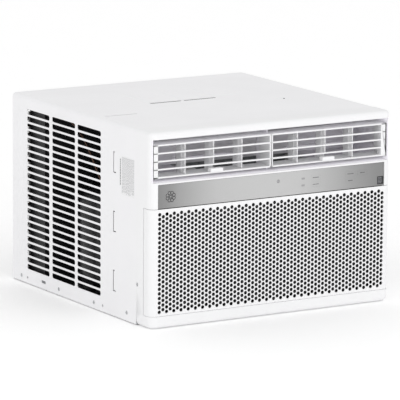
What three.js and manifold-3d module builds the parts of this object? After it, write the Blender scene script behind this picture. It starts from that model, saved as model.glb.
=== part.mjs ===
// Window air conditioner, built as an assembly of separate pieces.
// Millimetres, +Z up, the front faces -Y and +X is to the right as seen from the front.
// The origin is the centre of the footprint, on the surface that the base rests on.

import * as THREE from 'three';
import { mergeVertices } from 'three/addons/utils/BufferGeometryUtils.js';
import Module from 'manifold-3d';

const wasm = await Module();
wasm.setup();

// ---------------------------------------------------------------- driving dimensions

const WIDTH = 546;
const DEPTH = 552;
const HEIGHT = 381;
const HALF = WIDTH / 2;
const FRONT = -DEPTH / 2;
const BACK = DEPTH / 2;
const GAP = 0.3; // clearance between neighbouring pieces
const OVER = 1; // how far a cutting tool passes the surface it cuts

const BEZEL = { depth: 55, wall: 3, corner: 15, topEdge: 7, bottomEdge: 10 };
const SEAM = FRONT + BEZEL.depth; // where the bezel meets the steel cabinet

const SHEET = 1.2; // steel sheet of cabinet and base
const CABINET = {
  side: HALF - 0.6,
  front: SEAM + GAP,
  bend: 8,
  flange: 12,
  bottom: 0.5,
  top: HEIGHT - 0.3,
};

const GRILLE = {
  bottom: 24.6,
  top: 232.2,
  wall: 2.5,
  wrap: 26, // how far it reaches back along both sides
  wrapGap: 1.1, // room for its rear edges to swing
  fieldHalf: 256, // the thinner field inside its border
  fieldDepth: 4,
};
const FASCIA = { half: 256.6, bottom: 233.5, top: 279.5, recess: 0.8, thickness: 3.6 };
const OUTLET = { half: 269, bottom: 283.5, top: 366.5, liner: 2.2, back: -106 };
const BASE = { front: -249, back: 270, side: 271, wall: 22, sheet: 1.5, step: 8, drop: 6 };

const SHAFT = { x: 0, z: 165, radius: 5 };
const BULKHEAD = { front: -105.4, thickness: 2, half: 268 };

// ---------------------------------------------------------------- solids and placing

const AXIS_FRAMES = {
  // directions of the outline's two axes and of the extrusion
  x: [[0, 1, 0], [0, 0, 1], [1, 0, 0]],
  y: [[1, 0, 0], [0, 0, 1], [0, -1, 0]],
  z: [[1, 0, 0], [0, 1, 0], [0, 0, 1]],
};

function solidFrom(geometry) {
  const bare = geometry.clone();
  bare.deleteAttribute('normal');
  bare.deleteAttribute('uv');
  const merged = mergeVertices(bare, 1e-4);
  return new wasm.Manifold(new wasm.Mesh({
    numProp: 3,
    vertProperties: new Float32Array(merged.attributes.position.array),
    triVerts: new Uint32Array(merged.index.array),
  }));
}

function geometryFrom(solid) {
  const mesh = solid.getMesh();
  const geometry = new THREE.BufferGeometry();
  geometry.setAttribute('position', new THREE.BufferAttribute(new Float32Array(mesh.vertProperties), 3));
  geometry.setIndex(new THREE.BufferAttribute(new Uint32Array(mesh.triVerts), 1));
  geometry.computeVertexNormals();
  return geometry;
}

function block([x0, x1], [y0, y1], [z0, z1]) {
  const geometry = new THREE.BoxGeometry(x1 - x0, y1 - y0, z1 - z0);
  geometry.translate((x0 + x1) / 2, (y0 + y1) / 2, (z0 + z1) / 2);
  return solidFrom(geometry);
}

// An outline drawn in the plane across an axis, pushed along that axis from one place to another.
// Every arc of the outline gets twice as many straight pieces as curveSegments.
function push(outline, axis, from, to, curveSegments = 3) {
  const shape = Array.isArray(outline)
    ? new THREE.Shape(outline.map(([u, v]) => new THREE.Vector2(u, v)))
    : outline;
  const geometry = new THREE.ExtrudeGeometry(shape, {
    depth: to - from,
    bevelEnabled: false,
    curveSegments,
  });
  const directions = AXIS_FRAMES[axis].map((direction) => new THREE.Vector3(...direction));
  geometry.applyMatrix4(new THREE.Matrix4().makeBasis(...directions));
  geometry.translate(...directions[2].multiplyScalar(axis === 'y' ? -to : from).toArray());
  return solidFrom(geometry);
}

function circle(u, v, radius) {
  return new THREE.Shape().absarc(u, v, radius, 0, 2 * Math.PI);
}

// A round bar along an axis, through the point whose other two coordinates are u and v.
function rod(axis, u, v, radius, from, to, sides = 16) {
  return push(circle(u, v, radius), axis, from, to, sides / 2);
}

function ring(axis, u, v, outer, inner, from, to, sides = 32) {
  return rod(axis, u, v, outer, from, to, sides).subtract(rod(axis, u, v, inner, from - 1, to + 1, sides));
}

function roundedRectangle(u0, u1, v0, v1, radius) {
  const shape = new THREE.Shape();
  shape.absarc(u1 - radius, v1 - radius, radius, 0, Math.PI / 2);
  shape.absarc(u0 + radius, v1 - radius, radius, Math.PI / 2, Math.PI);
  shape.absarc(u0 + radius, v0 + radius, radius, Math.PI, 1.5 * Math.PI);
  shape.absarc(u1 - radius, v0 + radius, radius, 1.5 * Math.PI, 2 * Math.PI);
  return shape;
}

function turned(profile, sides) {
  const geometry = new THREE.LatheGeometry(profile.map(([r, h]) => new THREE.Vector2(r, h)), sides);
  geometry.rotateX(Math.PI / 2); // the lathe's own axis is +Y, and these stand on +Z
  return solidFrom(geometry);
}

function tube(points, radius, steps) {
  const path = new THREE.CatmullRomCurve3(points.map((point) => new THREE.Vector3(...point)));
  const section = circle(0, 0, radius);
  return solidFrom(new THREE.ExtrudeGeometry(section, { steps, extrudePath: path, curveSegments: 4 }));
}

function unite(solids) {
  return solids.reduce((sum, next) => sum.add(next));
}

function cut(body, tools) {
  return tools.reduce((rest, tool) => rest.subtract(tool), body);
}

function mirrored(solid) {
  return solid.mirror([1, 0, 0]);
}

// Two coordinates in rising order, whichever side of the middle they are on.
function span(a, b) {
  return [Math.min(a, b), Math.max(a, b)];
}

const SIDES = [['left', -1], ['right', 1]];
const ACROSS = [-HALF - OVER, HALF + OVER]; // past both sides

// ---------------------------------------------------------------- materials

function paint(color, roughness, metalness = 0) {
  return new THREE.MeshStandardMaterial({ color, roughness, metalness });
}

const whitePlastic = () => paint(0xf3f3f4, 0.45);
const whiteSteel = () => paint(0xf0f0f2, 0.4);
const silverPlastic = () => paint(0xb9babd, 0.35, 0.3);
const greyPlastic = () => paint(0x8d8b94, 0.6);
const darkPlastic = () => paint(0x1d1d20, 0.5);
const galvanised = () => paint(0xa9adb1, 0.45, 0.9);
const darkPaint = () => paint(0x16171a, 0.4, 0.2);
const copper = () => paint(0xb46a40, 0.3, 1);
const aluminium = () => paint(0xc4c8cc, 0.4, 0.9);
const rubber = () => paint(0x202022, 0.85);
const brightSteel = () => paint(0xc9cbce, 0.25, 1);
const foam = () => paint(0xe9e9e6, 0.9);
const circuitGreen = () => paint(0x1f5a37, 0.5);
const filterMesh = () => paint(0x3a3d44, 0.8);

const assembly = new THREE.Group();

function place(name, material, solid, [x, y, z] = [0, 0, 0]) {
  const local = solid.translate([-x, -y, -z]);
  const piece = new THREE.Mesh(geometryFrom(local), material);
  piece.name = name;
  piece.position.set(x, y, z);
  assembly.add(piece);
}

// ---------------------------------------------------------------- front bezel

// Plan of the bezel: straight sides, rounded front corners, open at the back.
function bezelPlan(inset) {
  const radius = BEZEL.corner - inset;
  const half = HALF - inset;
  const front = FRONT + inset;
  const shape = new THREE.Shape();
  const back = SEAM + (inset ? OVER : 0);
  shape.moveTo(half, back);
  shape.lineTo(-half, back);
  shape.absarc(-half + radius, front + radius, radius, Math.PI, 1.5 * Math.PI);
  shape.absarc(half - radius, front + radius, radius, 1.5 * Math.PI, 2 * Math.PI);
  return shape;
}

// Side view of the bezel, in Y and Z, with the two long front edges rounded.
function bezelProfile(inset) {
  const front = FRONT + inset;
  const low = BEZEL.bottomEdge - inset;
  const high = BEZEL.topEdge - inset;
  const top = HEIGHT - inset;
  const shape = new THREE.Shape();
  shape.absarc(front + low, inset + low, low, Math.PI, 1.5 * Math.PI);
  shape.lineTo(SEAM + 2 * OVER, inset);
  shape.lineTo(SEAM + 2 * OVER, top);
  shape.absarc(front + high, top - high, high, Math.PI / 2, Math.PI);
  return shape;
}

function bezelVolume(inset) {
  const plan = push(bezelPlan(inset), 'z', -OVER, HEIGHT + OVER);
  return plan.intersect(push(bezelProfile(inset), 'x', ...ACROSS));
}

// The grille fills the front between these heights and wraps round both corners.
function grilleZone(margin) {
  const depth = [FRONT - OVER, FRONT + GRILLE.wrap + margin];
  return block(ACROSS, depth, [GRILLE.bottom - margin, GRILLE.top + margin]);
}

// The wraps' rear edges swing up and back a little as the grille tilts, so their seam is wider.
function wrapClearance() {
  const { wrap, wrapGap, bottom, top } = GRILLE;
  return block(ACROSS, [FRONT + wrap / 2, FRONT + wrap + wrapGap], [bottom, top + wrapGap]);
}

const HINGE = {
  y: FRONT + 7,
  z: 28.5,
  pin: 1.5,
  barrel: 3.5,
  barrelSpan: [234, 244],
  lugSpan: [245, 250],
  pinSpan: [232, 251],
};
const SIDE_SCREW = {
  y: SEAM - 5,
  z: 80,
  head: 4,
  shank: 1.6,
  length: 6,
  pocket: 4.6,
  pocketDepth: 1.2,
  holeDepth: 9,
};
const GLAND = { y: SEAM - 16, z: 42, radius: 11, neck: 8.5, bore: 4.5, inner: HALF - 10 };
const BOARD_WINDOW = { from: 55, to: 225, low: 239, high: 274 };
const FRONT_WALL = [FRONT - OVER, FRONT + 9]; // depth range of the tools that open the front wall
const BACK_PLATE = { front: FRONT + 5, back: FRONT + 7.5, bottom: GRILLE.top + 2 };
const LIP = { edge: 24, inner: 21, rise: 25, depth: 30 }; // bevelled strip under the grille

function lipBevel() {
  const { edge, inner, rise, depth } = LIP;
  const outline = [
    [FRONT, edge],
    [FRONT - OVER, rise],
    [FRONT + depth, rise],
    [FRONT + depth, inner],
    [FRONT + BEZEL.wall, inner],
  ];
  return push(outline, 'x', ...ACROSS);
}

function hingeLug(side) {
  const [near, far] = span(side * HINGE.lugSpan[0], side * HINGE.lugSpan[1]);
  const web = block([near, far], [HINGE.y - 1, HINGE.y + 4], [1, HINGE.z]);
  return web.add(rod('x', HINGE.y, HINGE.z, HINGE.barrel, near, far));
}

// A pocket for the head and a hole for the shank.
function sideScrewHole(side) {
  const skin = side * HALF;
  const { y, z, pocket, pocketDepth, shank, holeDepth } = SIDE_SCREW;
  const head = rod('x', y, z, pocket, ...span(skin, skin - side * pocketDepth));
  return head.add(rod('x', y, z, shank + GAP, ...span(skin, skin - side * holeDepth)));
}

function frontBezel() {
  const shell = bezelVolume(0).subtract(bezelVolume(BEZEL.wall));
  const within = [-HALF + BEZEL.wall, HALF - BEZEL.wall];
  const openBack = block(within, [BASE.front - 8, SEAM + 3], [-OVER, BEZEL.wall + OVER]);
  const outlet = block([-OUTLET.half, OUTLET.half], FRONT_WALL, [OUTLET.bottom, OUTLET.top]);
  const pocketHalf = FASCIA.half + GAP;
  const pocket = block([-pocketHalf, pocketHalf], FRONT_WALL, [GRILLE.top, FASCIA.top + GAP]);
  const grilleOpening = grilleZone(GAP).add(wrapClearance());
  const plateTop = OUTLET.bottom - OUTLET.liner - GAP;
  const backPlate = block(within, [BACK_PLATE.front, BACK_PLATE.back], [BACK_PLATE.bottom, plateTop]);
  const { from, to, low, high } = BOARD_WINDOW;
  const window = block([from, to], [BACK_PLATE.front - OVER, FRONT + 9], [low, high]);
  const lugs = SIDES.map(([, side]) => hingeLug(side));
  const pinHole = rod('x', HINGE.y, HINGE.z, HINGE.pin + GAP, -HALF + 12, HALF - 12);
  const screwHoles = SIDES.map(([, side]) => sideScrewHole(side));
  const glandHole = rod('x', GLAND.y, GLAND.z, GLAND.radius - 2, HALF - 6, HALF + OVER);
  const walls = cut(shell, [openBack, outlet, pocket, grilleOpening, lipBevel()]);
  return cut(unite([walls, backPlate, ...lugs]), [window, pinHole, glandHole, ...screwHoles]);
}

place('front_bezel', whitePlastic(), frontBezel());

// ---------------------------------------------------------------- inlet grille and filter

const FILTER = {
  half: 236,
  bottom: 36,
  top: 222,
  front: FRONT + 9,
  thickness: 3,
  border: 9,
  bays: 5,
  rib: 4,
  web: 1,
  gripHalf: 18,
  gripRise: 6,
};

function hingeBarrel(side) {
  const [near, far] = span(side * HINGE.barrelSpan[0], side * HINGE.barrelSpan[1]);
  const web = block([near, far], [FRONT + 2, HINGE.y], [HINGE.z - 2, HINGE.z + 2]);
  return web.add(rod('x', HINGE.y, HINGE.z, HINGE.barrel, near, far));
}

// The rail on the back of the grille that one end of the filter slides behind.
function filterRail(side) {
  const across = span(side * (FILTER.half + 0.5), side * (FILTER.half + 3));
  const depth = [FRONT + 1, FILTER.front + FILTER.thickness + 2];
  return block(across, depth, [FILTER.bottom, FILTER.top]);
}

function frontGrille() {
  const outer = bezelVolume(0).intersect(grilleZone(0));
  const panel = outer.subtract(bezelVolume(GRILLE.wall));
  const { fieldHalf, fieldDepth, bottom, top } = GRILLE;
  const field = block([-fieldHalf, fieldHalf], [FRONT + 1, FRONT + fieldDepth], [bottom + 5, top - 6]);
  const fittings = SIDES.flatMap(([, side]) => [hingeBarrel(side), filterRail(side)]);
  const pinHole = rod('x', HINGE.y, HINGE.z, HINGE.pin + GAP, -HALF, HALF);
  return unite([panel.subtract(field), ...fittings]).subtract(pinHole);
}

place('front_grille', whitePlastic(), frontGrille(), [0, HINGE.y, HINGE.z]);

for (const [name, side] of SIDES) {
  const ends = span(side * HINGE.pinSpan[0], side * HINGE.pinSpan[1]);
  const pin = rod('x', HINGE.y, HINGE.z, HINGE.pin, ...ends);
  place(`grille_hinge_pin_${name}`, brightSteel(), pin, [ends[0], HINGE.y, HINGE.z]);
}

// A frame whose bays are closed by a thin web in the middle of its thickness.
function airFilter() {
  const { half, bottom, top, front, thickness, border, bays, rib, web, gripHalf, gripRise } = FILTER;
  const back = front + thickness;
  const frame = block([-half, half], [front, back], [bottom, top]);
  const pitch = (2 * half - 2 * border) / bays;
  const recess = (thickness - web) / 2;
  const hollows = [];
  for (let bay = 0; bay < bays; bay += 1) {
    const left = -half + border + bay * pitch;
    for (const depth of [[front - OVER, front + recess], [back - recess, back + OVER]]) {
      const across = [left + rib / 2, left + pitch - rib / 2];
      hollows.push(block(across, depth, [bottom + border, top - border]));
    }
  }
  const grip = block([-gripHalf, gripHalf], [front, back], [top - OVER, top + gripRise]);
  return cut(frame, hollows).add(grip);
}

place('air_filter', filterMesh(), airFilter(), [0, FILTER.front, FILTER.bottom]);

// ---------------------------------------------------------------- outlet duct and louver banks

const BANK = {
  pivotY: FRONT + 27,
  pivotZ: 323.2,
  front: FRONT + 7,
  depth: 40,
  bottom: 290.7,
  top: 355.7,
  bar: 3,
  barDepth: 5,
  outer: 264.5,
  post: 9,
  postDepth: 14,
  inner: 1.2,
  plate: 2.4,
};
const FIN = { pitch: 63.5, middle: 126.5, thickness: 2.4, front: BANK.front + 5.5, length: 34, pin: 2 };
const FIN_PIVOT_Y = FIN.front + 13.5;
const TAB = {
  half: 13.5,
  stemHalf: 3,
  front: FRONT,
  padDepth: 12,
  depth: 20,
  low: 296,
  thickness: 3,
  notch: 306, // the fin's front edge is cut away below this height
};
const LINK = { y: FIN_PIVOT_Y + 25, low: 316, thickness: 3, width: 7, pin: 1.5 };
const PIVOT_PIN = 2;
const PIVOT_HOLE = 2.4;
const MULLION = { half: 0.8, front: BANK.pivotY - 4, back: BANK.pivotY + 34, stub: 3.2 };

function outletDuct() {
  const { half, bottom, top, liner, back } = OUTLET;
  const { pivotY, pivotZ } = BANK;
  const front = FRONT + BEZEL.wall + GAP;
  const allowed = bezelVolume(BEZEL.wall + GAP).add(block([-half, half], [SEAM, BACK], [0, HEIGHT]));
  const outer = block([-half + GAP, half - GAP], [front, back], [bottom - liner + GAP, top + liner])
    .intersect(allowed);
  const inside = block([-half + liner, half - liner], [front - OVER, back + OVER], [bottom, top]);
  const blowerMouth = block([-138, 138], [-190, back + OVER], [bottom - 5, bottom + 5]);
  const pivotHole = rod('x', pivotY, pivotZ, PIVOT_HOLE, -half - OVER, -half + 4);
  const lining = cut(outer, [inside, blowerMouth, pivotHole, mirrored(pivotHole)]);
  const mullion = block([-MULLION.half, MULLION.half], [MULLION.front, MULLION.back],
    [bottom - OVER, top + OVER]);
  const stub = rod('x', pivotY, pivotZ, PIVOT_PIN, -MULLION.stub, MULLION.stub);
  return unite([lining, mullion, stub]);
}

place('outlet_duct', greyPlastic(), outletDuct());

// The right-hand bank; the left-hand one is its mirror image.
function louverBank() {
  const { front, depth, bottom, top, bar, barDepth, outer, inner, plate } = BANK;
  const back = front + depth;
  const rows = 4;
  const rowPitch = (top - bottom - bar) / rows;
  const parts = [
    block([outer - BANK.post, outer], [front, front + BANK.postDepth], [bottom, top]),
    block([outer - plate, outer], [front, back], [bottom, top]),
    block([inner, inner + plate], [front, back], [bottom, top]),
    rod('x', BANK.pivotY, BANK.pivotZ, PIVOT_PIN, outer - OVER, OUTLET.half - 0.5),
  ];
  for (let row = 0; row <= rows; row += 1) {
    const low = bottom + row * rowPitch;
    const isRail = row === 0 || row === rows;
    parts.push(block([inner, outer], [front, isRail ? back : front + barDepth], [low, low + bar]));
  }
  const stubHole = rod('x', BANK.pivotY, BANK.pivotZ, PIVOT_HOLE, 0, inner + plate + OVER);
  const finHoles = finCentres().map((x) => (
    rod('z', x, FIN_PIVOT_Y, FIN.pin + GAP, bottom - OVER, top + OVER)));
  return cut(unite(parts), [stubHole, ...finHoles]);
}

function finCentres() {
  return [-1, 0, 1].map((step) => FIN.middle + step * FIN.pitch);
}

// The thumb tab in front of a fin, on a stem that reaches back to it.
function finTab(x) {
  const { half, stemHalf, front, padDepth, depth, low, thickness } = TAB;
  const heights = [low, low + thickness];
  const pad = block([x - half, x + half], [front, front + padDepth], heights);
  return pad.add(block([x - stemHalf, x + stemHalf], [front + padDepth - OVER, front + depth], heights));
}

function airFin(x, hasTab) {
  const low = BANK.bottom + BANK.bar + GAP;
  const high = BANK.top - BANK.bar - GAP;
  const half = FIN.thickness / 2;
  const back = FIN.front + FIN.length;
  const earTop = LINK.low - 0.4;
  const linkTop = LINK.low + LINK.thickness + GAP;
  const plate = block([x - half, x + half], [FIN.front, back], [low, high]);
  const linkSlot = block([x - 3, x + 3], [LINK.y - 6, back + OVER], [earTop, linkTop + 0.2]);
  const frontNotch = block([x - 2, x + 2], [FIN.front - OVER, TAB.front + TAB.depth - 2],
    [low - OVER, TAB.notch]);
  const added = [
    block([x - half, x + half], [back - 3, LINK.y + 2], [earTop - 3.6, earTop]),
    rod('z', x, LINK.y, LINK.pin, LINK.low - 2, linkTop, 10),
    rod('z', x, FIN_PIVOT_Y, FIN.pin, BANK.bottom + 0.5, BANK.top - 0.5, 12),
  ];
  if (hasTab) {
    added.push(finTab(x));
  }
  return unite([cut(plate, hasTab ? [linkSlot, frontNotch] : [linkSlot]), ...added]);
}

function finLink() {
  const reach = FIN.pitch + 5;
  const { y, low, thickness, width, pin } = LINK;
  const bar = block([FIN.middle - reach, FIN.middle + reach], [y - width / 2, y + width / 2],
    [low, low + thickness]);
  return cut(bar, finCentres().map((x) => rod('z', x, y, pin + GAP, 0, HEIGHT, 10)));
}

for (const [name, side] of SIDES) {
  const handed = (solid) => (side < 0 ? mirrored(solid) : solid);
  const bankPivot = [0, BANK.pivotY, BANK.pivotZ];
  place(`louver_bank_${name}`, whitePlastic(), handed(louverBank()), bankPivot);
  finCentres().forEach((x, index) => {
    const pivot = [side * x, FIN_PIVOT_Y, BANK.pivotZ];
    place(`air_fin_${name}_${index + 1}`, whitePlastic(), handed(airFin(x, index === 1)), pivot);
  });
  place(`fin_link_${name}`, greyPlastic(), handed(finLink()), [side * FIN.middle, LINK.y, LINK.low]);
}

// ---------------------------------------------------------------- control panel

const FASCIA_FACE = FRONT + FASCIA.recess;
const KEYS = [
  { name: 'key_power', x: 206, z: 263.2 },
  { name: 'key_mode', x: 178.4, z: 263.2 },
  { name: 'key_fan_speed', x: 178.4, z: 249.8 },
  { name: 'key_temp_up', x: 98.4, z: 263.2 },
  { name: 'key_temp_down', x: 98.4, z: 249.8 },
];
const KEY = { half: 11, halfHeight: 4.6, corner: 2, proud: 0.5, stem: 2.5, travel: 0.8, back: FRONT + 9.5 };
const LENSES = [
  { name: 'status_lens_upper', x: 69.4, z: 263.2 },
  { name: 'status_lens_lower', x: 69.4, z: 249.8 },
];
const LENS = { half: 3.6, halfHeight: 1.8, corner: 0.7, depth: 5 };
const SIGNAL_WINDOW = { x: 12.4, z: 263, radius: 3.5, depth: 4 };
const EMBLEM = { x: -229, z: 255.4, radius: 11.5, thickness: 0.6 };
const RATING = { left: 241.2, right: 255.6, bottom: 236.3, top: 252, thickness: 0.3 };
const BOARD = { left: 27, right: 235, low: 238, high: 272, thickness: 1.6, behindKeys: 1.6 };

function rectangleAt(x, z, half, halfHeight, corner) {
  return roundedRectangle(x - half, x + half, z - halfHeight, z + halfHeight, corner);
}

function controlFascia() {
  const { half, thickness, bottom, top } = FASCIA;
  const plate = block([-half, half], [FASCIA_FACE, FASCIA_FACE + thickness], [bottom, top]);
  const keyHoles = KEYS.map(({ x, z }) => (
    rectangleAt(x, z, KEY.half + GAP, KEY.halfHeight + GAP, KEY.corner + GAP)));
  const lensHoles = LENSES.map(({ x, z }) => (
    rectangleAt(x, z, LENS.half + GAP, LENS.halfHeight + GAP, LENS.corner + GAP)));
  const signalHole = rod('y', SIGNAL_WINDOW.x, SIGNAL_WINDOW.z, SIGNAL_WINDOW.radius + GAP, ...FRONT_WALL);
  const holes = [...keyHoles, ...lensHoles].map((outline) => push(outline, 'y', ...FRONT_WALL, 1));
  return cut(plate, [...holes, signalHole]);
}

place('control_fascia', silverPlastic(), controlFascia());

for (const { name, x, z } of KEYS) {
  const face = FASCIA_FACE - KEY.proud;
  const cap = push(rectangleAt(x, z, KEY.half, KEY.halfHeight, KEY.corner), 'y', face, face + 3, 1);
  const stem = rod('y', x, z, KEY.stem, face + 2, KEY.back, 12);
  place(name, silverPlastic(), cap.add(stem), [x, face, z]);
}

for (const { name, x, z } of LENSES) {
  const outline = rectangleAt(x, z, LENS.half, LENS.halfHeight, LENS.corner);
  const lens = push(outline, 'y', FASCIA_FACE, FASCIA_FACE + LENS.depth, 1);
  place(name, darkPlastic(), lens, [x, FASCIA_FACE, z]);
}

function faceDisc({ x, z, radius }, from, to, sides) {
  return rod('y', x, z, radius, FASCIA_FACE + from, FASCIA_FACE + to, sides);
}

place('signal_window', darkPlastic(), faceDisc(SIGNAL_WINDOW, 0, SIGNAL_WINDOW.depth, 16),
  [SIGNAL_WINDOW.x, FASCIA_FACE, SIGNAL_WINDOW.z]);
place('round_emblem', darkPlastic(), faceDisc(EMBLEM, -EMBLEM.thickness, 0, 24),
  [EMBLEM.x, FASCIA_FACE, EMBLEM.z]);

function ratingSticker() {
  const { left, right, bottom, top, thickness } = RATING;
  return block([left, right], [FASCIA_FACE - thickness, FASCIA_FACE], [bottom, top]);
}

place('rating_sticker', darkPlastic(), ratingSticker(), [RATING.left, FASCIA_FACE, RATING.bottom]);

// The board stands behind the keys, with a switch at the end of each key's travel.
function controlBoard() {
  const keyEnd = KEY.back + KEY.travel;
  const face = keyEnd + BOARD.behindKeys;
  const back = face + BOARD.thickness;
  const board = block([BOARD.left, BOARD.right], [face, back], [BOARD.low, BOARD.high]);
  const switches = KEYS.map(({ x, z }) => (
    block([x - 3, x + 3], [keyEnd + 0.2, face + 0.5], [z - 3, z + 3])));
  const { x, z } = SIGNAL_WINDOW;
  const signalCell = block([x - 4, x + 4], [face, face + 4], [z - 4, z + 4]);
  const holder = block([x - 4.4, BOARD.left + 3], [face, back], [z - 13, BOARD.high]);
  return unite([board, holder, signalCell, ...switches]);
}

place('control_board', circuitGreen(), controlBoard());

// ---------------------------------------------------------------- cabinet

const SLOT_ROWS = { count: 23, first: 35.4, pitch: 14.3, height: 10.4 };
const SLOT_COLUMNS = [[-83, 10], [19, 112], [123, 215]];
const LANCES = [[50, 92], [167, 208], [283, 324]];
const LANCE = { y: -134, width: 3, leg: 8 };
const TOP_SLITS = [[-100, -28], [-23, 50]];
const TOP_SLIT = { y: 24, half: 2.2 };
const BASE_SCREWS = [[-185, 17], [-57, 13], [84, 13], [239, 13]];
const BASE_SCREW = { head: 4.2, headHeight: 0.5, shank: 1.5, length: 7, dimple: 0.6 };
const BASE_RIBS = { fronts: [-60, 20], width: 8, height: 2 };
const GUARD = {
  half: 264,
  margin: 6,
  bottom: 24,
  top: 372,
  thickness: 2,
  columns: 12,
  rows: 3,
  rib: 4,
};
const LABEL_THICKNESS = 0.25;
const DRAIN_HOLE = { y: 147, z: 15, half: 9, halfHeight: 3 };

// One side opening pushed through both side walls at once.
function throughSides(outline) {
  return push(outline, 'x', ...ACROSS);
}

function slotOutline(y0, y1, centre) {
  const low = centre - SLOT_ROWS.height / 2;
  const high = centre + SLOT_ROWS.height / 2;
  return [[y0, low], [y1, low], [y1, high], [y0, high]];
}

function wrapOutline(inset) {
  const side = CABINET.side - inset;
  const top = CABINET.top - inset;
  const radius = Math.max(CABINET.bend - inset, 1);
  const bottom = inset ? -OVER : CABINET.bottom;
  const shape = new THREE.Shape();
  shape.moveTo(-side, bottom);
  shape.lineTo(side, bottom);
  shape.absarc(side - radius, top - radius, radius, 0, Math.PI / 2);
  shape.absarc(-side + radius, top - radius, radius, Math.PI / 2, Math.PI);
  return shape;
}

function sideSlots() {
  return SLOT_COLUMNS.flatMap(([y0, y1]) => Array.from({ length: SLOT_ROWS.count }, (_, row) => (
    throughSides(slotOutline(y0, y1, SLOT_ROWS.first + row * SLOT_ROWS.pitch)))));
}

function sideLances() {
  const back = LANCE.y + LANCE.width;
  return LANCES.map(([z0, z1]) => throughSides([[LANCE.y, z0], [back, z0], [back, z1], [LANCE.y, z1]]));
}

function drainHole() {
  const { y, z, half, halfHeight } = DRAIN_HOLE;
  const radius = halfHeight - 0.2;
  return throughSides(roundedRectangle(y - half, y + half, z - halfHeight, z + halfHeight, radius));
}

function screwHoles() {
  return BASE_SCREWS.map(([y, z]) => throughSides(circle(y, z, BASE_SCREW.shank + GAP)));
}

// Shallow seats that take the screw heads below the skin.
function screwDimples() {
  return SIDES.flatMap(([, side]) => BASE_SCREWS.map(([y, z]) => {
    const ends = span(side * CABINET.side, side * (CABINET.side - BASE_SCREW.dimple));
    return rod('x', y, z, BASE_SCREW.head + GAP, ...ends, 12);
  }));
}

function cabinetShell() {
  const wrap = push(wrapOutline(0), 'y', CABINET.front, BACK);
  const inside = push(wrapOutline(SHEET), 'y', CABINET.front - OVER, BACK - SHEET);
  const backOpening = push(wrapOutline(CABINET.flange), 'y', BACK - SHEET - OVER, BACK + OVER);
  const slit = [TOP_SLIT.y - TOP_SLIT.half, TOP_SLIT.y + TOP_SLIT.half];
  const topSlits = TOP_SLITS.map((across) => block(across, slit, [HEIGHT - 5, HEIGHT + OVER]));
  const labelBed = labelOutline(GAP, -CABINET.side - OVER, -CABINET.side + LABEL_THICKNESS + 0.05);
  const openings = [...sideSlots(), ...sideLances(), ...topSlits, ...screwHoles(), drainHole()];
  return cut(wrap, [inside, backOpening, ...openings, ...screwDimples(), labelBed]);
}

const SIDE_LABEL = {
  y0: -213,
  y1: -164,
  low: 245,
  high: 321,
  titleEnd: -154,
  titleLow: 260,
  titleHigh: 317,
};

// The label is a tall block with a narrower title column behind it.
function labelOutline(margin, from, to) {
  const { y0, y1, titleEnd, low, high, titleLow, titleHigh } = SIDE_LABEL;
  return block([from, to], [y0 - margin, y1 + margin], [low - margin, high + margin])
    .add(block([from, to], [y1 - 1, titleEnd + margin], [titleLow - margin, titleHigh + margin]));
}

place('cabinet_shell', whiteSteel(), cabinetShell());

// The tray is narrower and lower in front, where it stands inside the bezel.
function basePan() {
  const { front, back, side, wall, sheet, step, drop } = BASE;
  const bayFront = SEAM + GAP;
  const narrow = side - step;
  const tray = unite([
    block([-narrow, narrow], [front, SEAM], [0, wall - drop]),
    block([-narrow, narrow], [SEAM - OVER, SEAM + OVER], [0, wall - drop]),
    block([-side, side], [bayFront, back], [0, wall]),
  ]);
  const inner = narrow - sheet;
  const hollow = block([-inner, inner], [front + sheet, back - sheet], [sheet, wall + OVER])
    .add(block([-side + sheet, side - sheet], [bayFront + sheet, back - sheet], [sheet, wall + OVER]));
  const drain = rod('z', 190, 210, 5, -OVER, 5);
  const ribs = BASE_RIBS.fronts.map((y) => (
    block([-side + 12, side - 12], [y, y + BASE_RIBS.width], [sheet - 0.5, sheet + BASE_RIBS.height])));
  return cut(unite([tray.subtract(hollow), ...ribs]), [...screwHoles(), drain]);
}

place('base_pan', galvanised(), basePan());

function rearGuard() {
  const { half, margin, bottom, top, thickness, columns, rows, rib } = GUARD;
  const back = BACK - SHEET - GAP;
  const front = back - thickness;
  const stepX = (2 * (half - margin)) / columns;
  const stepZ = (top - bottom - 2 * margin) / rows;
  const windows = [];
  for (let column = 0; column < columns; column += 1) {
    for (let row = 0; row < rows; row += 1) {
      const x = -half + margin + column * stepX;
      const z = bottom + margin + row * stepZ;
      windows.push(block([x + rib / 2, x + stepX - rib / 2], [front - OVER, back + OVER],
        [z + rib / 2, z + stepZ - rib / 2]));
    }
  }
  return cut(block([-half, half], [front, back], [bottom, top]), windows);
}

place('rear_guard', whiteSteel(), rearGuard());

for (const [name, side] of SIDES) {
  const { y, z, head, shank, length, pocketDepth } = SIDE_SCREW;
  const seat = HALF - pocketDepth;
  const cap = rod('x', y, z, head, seat + 0.1, HALF - 0.1, 12);
  const screw = cap.add(rod('x', y, z, shank, seat - length, seat + 0.2, 10));
  place(`bezel_screw_${name}`, brightSteel(), side < 0 ? mirrored(screw) : screw, [side * seat, y, z]);
}

BASE_SCREWS.forEach(([y, z], index) => {
  const skin = -CABINET.side;
  const screw = rod('x', y, z, BASE_SCREW.head, skin, skin + BASE_SCREW.headHeight, 12)
    .add(rod('x', y, z, BASE_SCREW.shank, skin + 0.1, skin + BASE_SCREW.length, 10));
  place(`base_screw_left_${index + 1}`, brightSteel(), screw, [skin, y, z]);
});

place('side_label', whiteSteel(), labelOutline(0, -CABINET.side, -CABINET.side + LABEL_THICKNESS),
  [-CABINET.side, SIDE_LABEL.y0, SIDE_LABEL.low]);

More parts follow.
